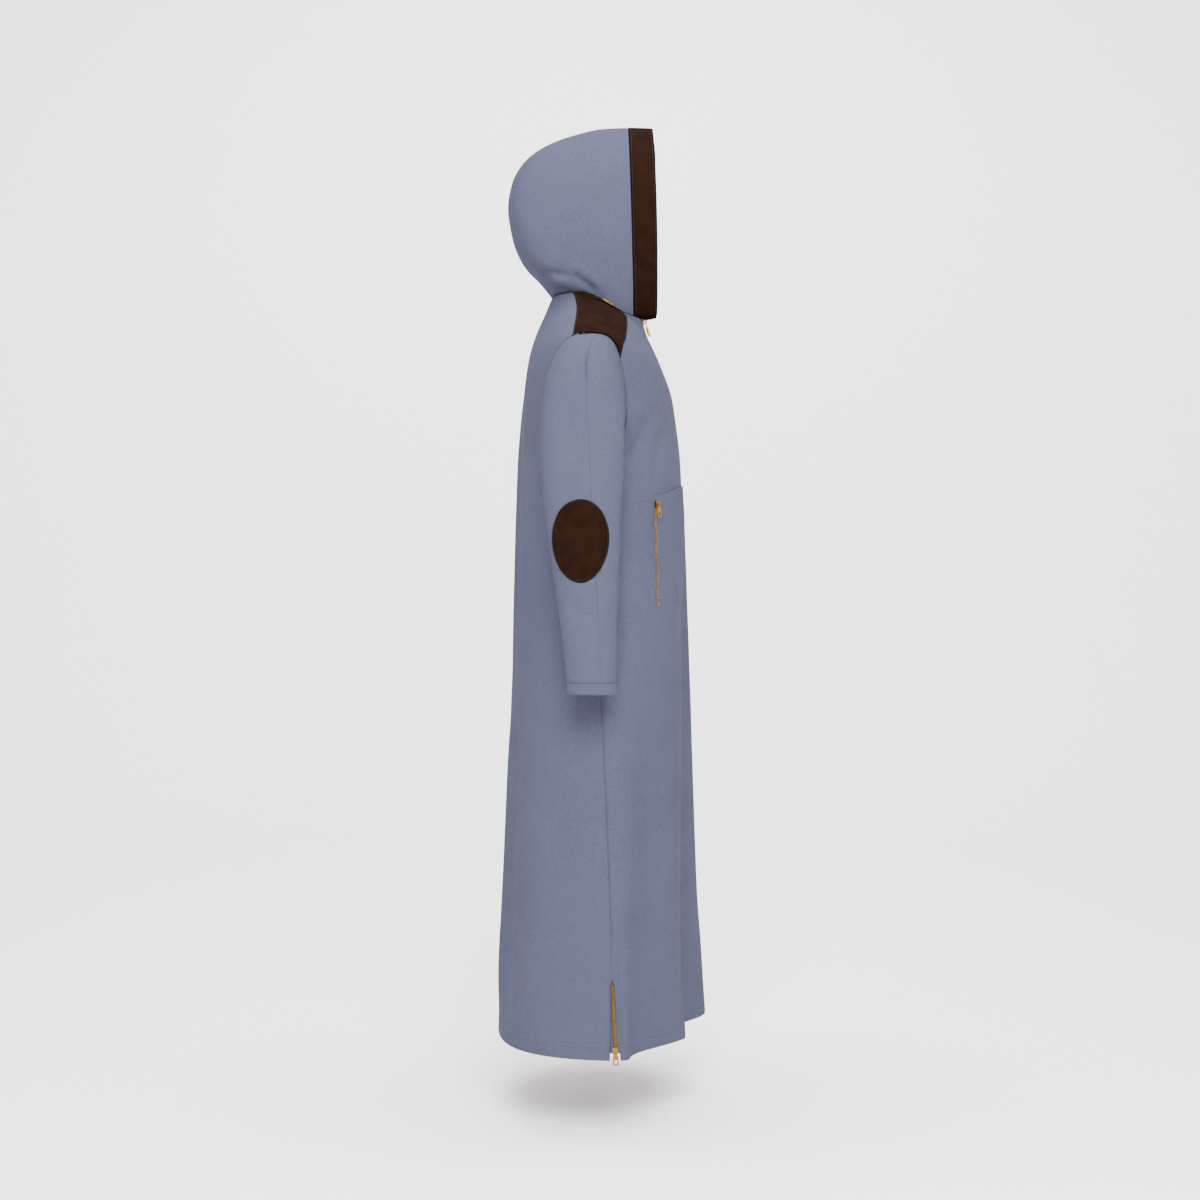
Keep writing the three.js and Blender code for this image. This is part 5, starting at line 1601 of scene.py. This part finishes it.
@dataclass
class ShoulderTrim:
    """The suede shoulder patches with their tabs and metal bars."""

    finishes: Finishes
    form: BodyForm
    neck_level: float = 0.03
    back_line: tuple[float, float] = (49.0, 41.0)
    front_line: tuple[float, float] = (-37.0, -48.0)
    back_angle: float = 13.0
    front_angle: float = -50.0
    tab_levels: tuple[float, float] = (0.12, 0.23)
    tab_ends: tuple[float, float] = (-37.0, 12.0)
    inside: tuple[float, float, float] = (120.0, 10.0, -150.0)

    def patch_point(self, across: Array, along: Array) -> Array:
        """A point of the patch: across from its back edge to its front one, along from neck to armhole.

        Both edges are curves of the second degree, and the last rows bend onto
        the armhole by the cube of the share along.
        """
        form = self.form
        across, along = np.broadcast_arrays(np.asarray(across, float), np.asarray(along, float))
        angle = mix(self.back_angle, self.front_angle, across)
        corners = [float(form.armhole(at)[..., 1]) for at in (self.back_angle, self.front_angle)]
        lines = []
        for (start, middle), end in zip((self.back_line, self.front_line), corners):
            control = 2 * middle - (start + end) / 2
            lines.append((1 - along) ** 2 * start + 2 * along * (1 - along) * control + along**2 * end)
        bend = form.armhole(angle)[..., 1] - mix(corners[0], corners[1], across)
        forward = mix(lines[0], lines[1], across) + along**3 * bend
        return form.shoulders(forward, mix(self.neck_level, 1 + np.abs(angle) / 180, along))

    def build(self) -> dict[str, Panel]:
        """Builds the patches, tabs and bars of both sides."""
        panels = {}
        for side in Side:
            inside = tuple(sided(np.array(self.inside), side))
            patch = Panel(
                lambda across, along, side=side: sided(self.patch_point(across, along), side),
                spaced(0, 1, 100, 3.2), spaced(0, 1, 185, 3.6), inside,
                wall=PATCH_WALL, proud=PATCH_WALL + PATCH_LIFT, trims=(0.0, 0.0, 0.0, SEAM_GAP),
                rolls=(0.8,) * 4, rolled=2.4,
            )
            piece = patch.build("suede_shoulder_patch_" + side.word, self.finishes.suede)
            ridden(piece, Slot.SUEDE, "shoulder_patch_" + side.word)
            tab = Panel(
                lambda forward, at, side=side: sided(self.form.shoulders(forward, at), side),
                spaced(*self.tab_ends, 55, 3.0, (0.8, 1.8, 3.0)),
                spaced(*self.tab_levels, 18, 2.5, (0.8, 1.8, 3.0)),
                inside, wall=TAB_WALL, proud=PATCH_WALL + PATCH_LIFT + SEAM_GAP + TAB_WALL,
                trims=(0.0,) * 4, rolls=(0.8,) * 4, rolled=2.2,
            )
            strip = tab.build("suede_shoulder_tab_" + side.word, self.finishes.suede)
            ridden(strip, Slot.SUEDE, "shoulder_tab_" + side.word)
            bar = "shoulder_bar_" + side.word
            rounded_copy(bar, "gold_" + bar, self.finishes.metal, 0.9)
            panels["shoulder_patch_" + side.word] = patch
            panels["shoulder_tab_" + side.word] = tab
        return panels


@dataclass
class Zips:
    """The front zip, the pocket zips and the side zips, with their tapes, sliders and pulls."""

    finishes: Finishes
    robe: Robe
    pocket_angle: float = 49.0
    pocket_ends: tuple[float, float] = (-392.0, -582.0)
    pocket_width: float = 9.0
    pocket_lean: tuple[float, float] = (-2.6, 4.2)
    pocket_wave: float = 1.3
    pocket_waves: float = 3.4
    side_ends: tuple[float, float] = (-1230.0, -1352.0)

    def strip(self, name: str, node: str, panel: Panel, teeth: Teeth, lift: float, trim: float = 0.0) -> None:
        """A zip's tape with its teeth along the middle.

        Args:
            name: the zip's name.
            node: the node that it stands for.
            panel: the tape.
            teeth: the teeth.
            lift: how far the teeth stand on the tape.
            trim: how far the teeth end before the tape does.
        """
        tape = panel.build(name + "_tape", self.finishes.tape)
        ridden(tape, Slot.CLOTH, node)
        middle = (panel.us[0] + panel.us[-1]) / 2
        fine = np.linspace(panel.vs[0] + trim, panel.vs[-1] - trim, 200)[1:-1]
        line, normals = panel.place(np.full_like(fine, middle), fine, lift)
        ridden(teeth.build(name + "_teeth", line, normals, self.finishes.metal), Slot.METAL)

    def pocket_point(self, side: Side, offset: Array, at: Array) -> Array:
        """A point of the pocket strip, at a distance beside its middle line.

        The line leans forward to its lower end and waves a little.
        """
        form = self.robe.form
        first, last = (self.pocket_level(up) for up in self.pocket_ends)
        down = (np.asarray(at, float) - first) / (last - first)
        wave = self.pocket_wave * np.sin(self.pocket_waves * math.tau * down)
        offset = offset - mix(*self.pocket_lean, down) - wave
        middle = side.value * self.pocket_angle / 90
        here = form.skirt(middle, at)
        beside = form.skirt(middle + side.value * 0.01, at)
        speed = np.linalg.norm(beside - here, axis=-1)
        return form.skirt(middle + side.value * 0.01 * offset / speed, at)

    def pocket_level(self, up: float) -> float:
        """The skirt's level at the pocket zip, for a height, found in steps."""
        at = self.robe.form.level_at(up)
        for _ in range(8):
            height = float(self.robe.form.skirt(self.pocket_angle / 90, at)[..., 2])
            at += (height - up) / (ARMPIT_UP - HEM_UP)
        return at

    def build(self) -> None:
        """Builds every zip, its slider and its pull."""
        self.front()
        for side in Side:
            self.pocket(side)
            self.side(side)
        for name in ("front", "pocket_right", "pocket_left", "side_right", "side_left"):
            rounded_copy(name + "_slider", name + "_zip_slider", self.finishes.metal, 0.35)
            pull = name + "_pull"
            rounded_copy(pull, name + "_zip_pull", self.finishes.metal, 0.3, body=pull + "_tab")

    def front(self) -> None:
        """The zip of the centre front, from the neckline to the waist seam."""
        form = self.robe.form

        def surface(offset: Array, at: Array) -> Array:
            """The centre line of the front, moved across."""
            forward, up = form.centre(at, False)
            return vector(offset, forward, up)

        half = self.robe.front_zip_width / 2
        panel = Panel(
            surface, np.linspace(-half - 4, half + 4, 7),
            spaced(0, form.waist_level, 345, 5.0, (0.5, 1.2, 2.0)),
            self.robe.inside, wall=0.9, proud=-2.2, trims=(0.0, 0.0, 0.5, 1.2), rolls=(0.1,) * 4, rolled=1.0,
        )
        self.strip("front_zip", "front_zip", panel, Teeth(height=1.7), 1.2, 0.004)

    def pocket(self, side: Side) -> None:
        """The zip of one pocket, on the front skirt."""
        half = self.pocket_width / 2
        levels = [self.pocket_level(up) for up in self.pocket_ends]
        panel = Panel(
            lambda offset, at: self.pocket_point(side, offset, at),
            np.array([-half, -half + 0.6, -half + 1.4, 0, half - 1.4, half - 0.6, half]),
            spaced(*levels, 190, 5.0, (0.6, 1.4, 2.4)), self.robe.inside,
            wall=1.3, proud=1.3, trims=(0.0,) * 4, rolls=(0.6,) * 4, rolled=1.6, folds=self.robe.plan.body,
        )
        self.strip("pocket_zip_" + side.word, "pocket_zip_" + side.word, panel, Teeth(height=1.1), 0.0)

    def side(self, side: Side) -> None:
        """The zip of one side slit, which widens to the hem."""
        form, robe = self.robe.form, self.robe

        def surface(offset: Array, at: Array) -> Array:
            """The side seam, moved forward by a share of the zip's width."""
            up = mix(ARMPIT_UP, HEM_UP, at - 2)
            forward = form.side_seam[1](up) + offset * (robe.zip_width(up) + 8)
            return sided(vector(form.side_seam[0](up), forward, up), side)

        levels = [form.level_at(up) for up in self.side_ends]
        panel = Panel(
            surface, np.linspace(-0.5, 0.5, 5), spaced(*levels, 122, 5.0, (0.5, 1.2, 2.0)),
            robe.inside, wall=0.9, proud=-2.2, trims=(0.0,) * 4, rolls=(0.1,) * 4, rolled=1.0,
        )
        name = "side_zip_" + side.word
        self.strip(name, name, panel, Teeth(reach=2.9, height=1.7), 1.4, 0.004)


@dataclass
class Stitching:
    """All rows of stitches that show."""

    finishes: Finishes
    panels: dict[str, Panel]
    level_at: Callable[[Array], Array]
    bar_stitches: int = 9
    bar_rows: tuple[float, ...] = (-0.9, 0.0, 0.9)
    bars = (
        ("front_skirt", ((0.995, -1224), (0.965, -1221))),
        ("back_panel", ((0.995, -1224.5), (0.965, -1227))),
        ("front_skirt", ((0.525, -588), (0.48, -588))),
    )

    def rows(self, name: str, slot: Slot, lines: Sequence[tuple]) -> None:
        """One piece of sewing from rows along panels' edges.

        Args:
            name: the piece's name.
            slot: the slot whose thread it has.
            lines: panel, edge, distance from the edge, distance from the row's ends, and part of the edge.
        """
        sewing = Sewing()
        for panel, edge, inset, *rest in lines:
            sewing.add(*self.panels[panel].edge_line(edge, inset, sewing.pitch, *rest))
        thread = self.finishes.suede_thread if slot is Slot.SUEDE else self.finishes.cloth_thread
        sewing.build(name, thread, slot)

    def tacks(self) -> None:
        """Bars of close stitches above the side zips and at the lower ends of the pocket zips."""
        sewing = Sewing(length=2.2, radius=0.5)
        count = self.bar_stitches
        for sign in (-1, 1):
            for panel, places in self.bars:
                (first, up), (last, last_up) = places
                share = np.linspace(first, last, count) * sign
                for drop in self.bar_rows:
                    at = self.level_at(np.linspace(up, last_up, count) + drop)
                    sewing.add(*self.panels[panel].place(share, at))
        sewing.build("bar_tacks", self.finishes.cloth_thread, Slot.CLOTH)

    def build(self) -> None:
        """Sews the bar tacks, hem, waist, slit sides, band and patches."""
        self.tacks()
        hem = [(panel, 3, HEM_TURNING, 8) for panel in ("back_panel", "front_skirt")]
        self.rows("hem_stitches", Slot.CLOTH, hem)
        waist = [("front_top_" + side.word, 3, 4.0, 4, (0, 0.52)) for side in Side]
        self.rows("waist_stitches", Slot.CLOTH, waist)
        beside = [("back_panel", edge, 4.0, 3, (0.957, 1)) for edge in (0, 1)]
        beside += [("front_skirt", edge, 4.0, 3, (0.866, 1)) for edge in (0, 1)]
        self.rows("slit_stitches", Slot.CLOTH, beside)
        self.rows("band_stitches", Slot.SUEDE, [("hood_band", 2, 4.2, 3), ("hood_band", 3, 4.2, 3)])
        patches = []
        for side in Side:
            patches += [("shoulder_patch_" + side.word, edge, 2.8, 2.8) for edge in range(3)]
            patches += [("shoulder_tab_" + side.word, edge, 2.2, 2.2) for edge in range(4)]
            patches += [("elbow_patch_" + side.word, edge, 2.8, 1.2) for edge in range(4)]
        self.rows("patch_stitches", Slot.SUEDE, patches)


@dataclass(frozen=True)
class Lamp:
    """An oblong area light: where it is and what it is aimed at, in metres."""

    name: str
    place: tuple[float, float, float]
    aim: tuple[float, float, float]
    size: tuple[float, float]
    watts: float

    def build(self) -> None:
        """Puts the light in the scene."""
        data = bpy.data.lights.new(self.name, "AREA")
        data.shape = "RECTANGLE"
        data.size, data.size_y = self.size
        data.energy = self.watts
        made = bpy.data.objects.new(self.name, data)
        made.location = self.place
        way = Vector(self.aim) - Vector(self.place)
        made.rotation_euler = way.to_track_quat("-Z", "Y").to_euler()
        bpy.context.scene.collection.objects.link(made)


@dataclass
class Studio:
    """A pale round floor whose rim curves up into a wall, soft lights and the camera."""

    lamps = (
        Lamp("top_light", (0.0, 0.1, 3.3), (0.0, 0.0, -0.6), (1.3, 3.8), 250),
        Lamp("key_light", (-2.9, -0.2, 1.3), (0.0, 0.0, -0.6), (1.8, 1.8), 310),
        Lamp("wall_light", (2.4, 0.0, 2.7), (5.3, 0.0, -0.3), (1.8, 1.8), 190),
    )
    sky: tuple[float, float, float, float] = (1.0, 0.985, 0.99, 1.0)
    sky_strength: float = 1.35
    floor_up: float = -1506.0
    floor_radii: tuple[float, ...] = (1.0, 900.0, 1800.0, 2700.0)
    flat_radius: float = 3600.0
    bend: float = 1800.0
    bend_steps: int = 14
    wall_top: float = 4200.0
    around: int = 96
    distance: float = 3.3
    azimuth: float = 270.0
    height: float = -0.57
    lens: float = 52.65

    def build(self) -> None:
        """Builds the ground, the lights and the camera."""
        self.ground()
        self.lights()
        self.camera()

    def ground(self) -> None:
        """The floor: a profile turned round the vertical, flat, then a quarter circle, then upright."""
        around = self.around
        turns = np.linspace(0, math.pi / 2, self.bend_steps)
        radii = np.concatenate([self.floor_radii, self.flat_radius + self.bend * np.sin(turns)])
        level = np.zeros(len(self.floor_radii))
        ups = np.concatenate([level, self.bend * (1 - np.cos(turns))]) + self.floor_up
        radii = np.append(radii, radii[-1])
        ups = np.append(ups, self.wall_top)
        angles = np.arange(around) * 2 * math.pi / around
        grid = vector(radii[:, None] * np.cos(angles), radii[:, None] * np.sin(angles), ups[:, None])
        r, c = np.meshgrid(np.arange(len(radii) - 1), np.arange(around), indexing="ij")
        r, c = r.ravel(), c.ravel()
        n = (c + 1) % around
        near, far = r * around, (r + 1) * around
        quads = np.stack([near + c, far + c, far + n, near + n], axis=1)
        middle = np.arange(around)[None, :]
        made = make_object("ground", grid.reshape(-1, 3), quads, PaleGround().material())
        cap = make_object("ground_middle", grid[0], middle, made.data.materials[0], False)

    def lights(self) -> None:
        """An even sky, a long light from above, one at the wearer's right and one on the wall."""
        world = bpy.data.worlds.new("studio_sky")
        bpy.context.scene.world = world
        world.use_nodes = True
        colour, strength = world.node_tree.nodes["Background"].inputs[:2]
        colour.default_value = self.sky
        strength.default_value = self.sky_strength
        for lamp in self.lamps:
            lamp.build()

    def camera(self) -> None:
        """The camera, level, at the wearer's right side."""
        data = bpy.data.cameras.new("camera")
        data.lens = self.lens
        data.sensor_width = 36
        data.clip_end = 60
        made = bpy.data.objects.new("camera", data)
        turn = math.radians(self.azimuth)
        made.location = (self.distance * math.sin(turn), -self.distance * math.cos(turn), self.height)
        aim = Vector((0, 0, self.height)) - made.location
        made.rotation_euler = aim.to_track_quat("-Z", "Y").to_euler()
        bpy.context.scene.collection.objects.link(made)
        bpy.context.scene.camera = made


def main() -> None:
    """Builds the thobe on its frame, then the studio."""
    logging.basicConfig(level=logging.INFO, format="%(name)s: %(message)s")
    finishes = Finishes()
    plan = FoldPlan()
    body = BodyForm()
    robe = Robe(finishes, body, plan)
    panels = robe.build()
    panels.update(Hood(finishes, HoodForm(body), plan).build())
    panels.update(Sleeves(finishes, SleeveForm(body), plan).build())
    panels.update(ShoulderTrim(finishes, body).build())
    Zips(finishes, robe).build()
    Stitching(finishes, panels, BodyForm.level_at).build()
    Studio().build()


if __name__ == "__main__":
    main()
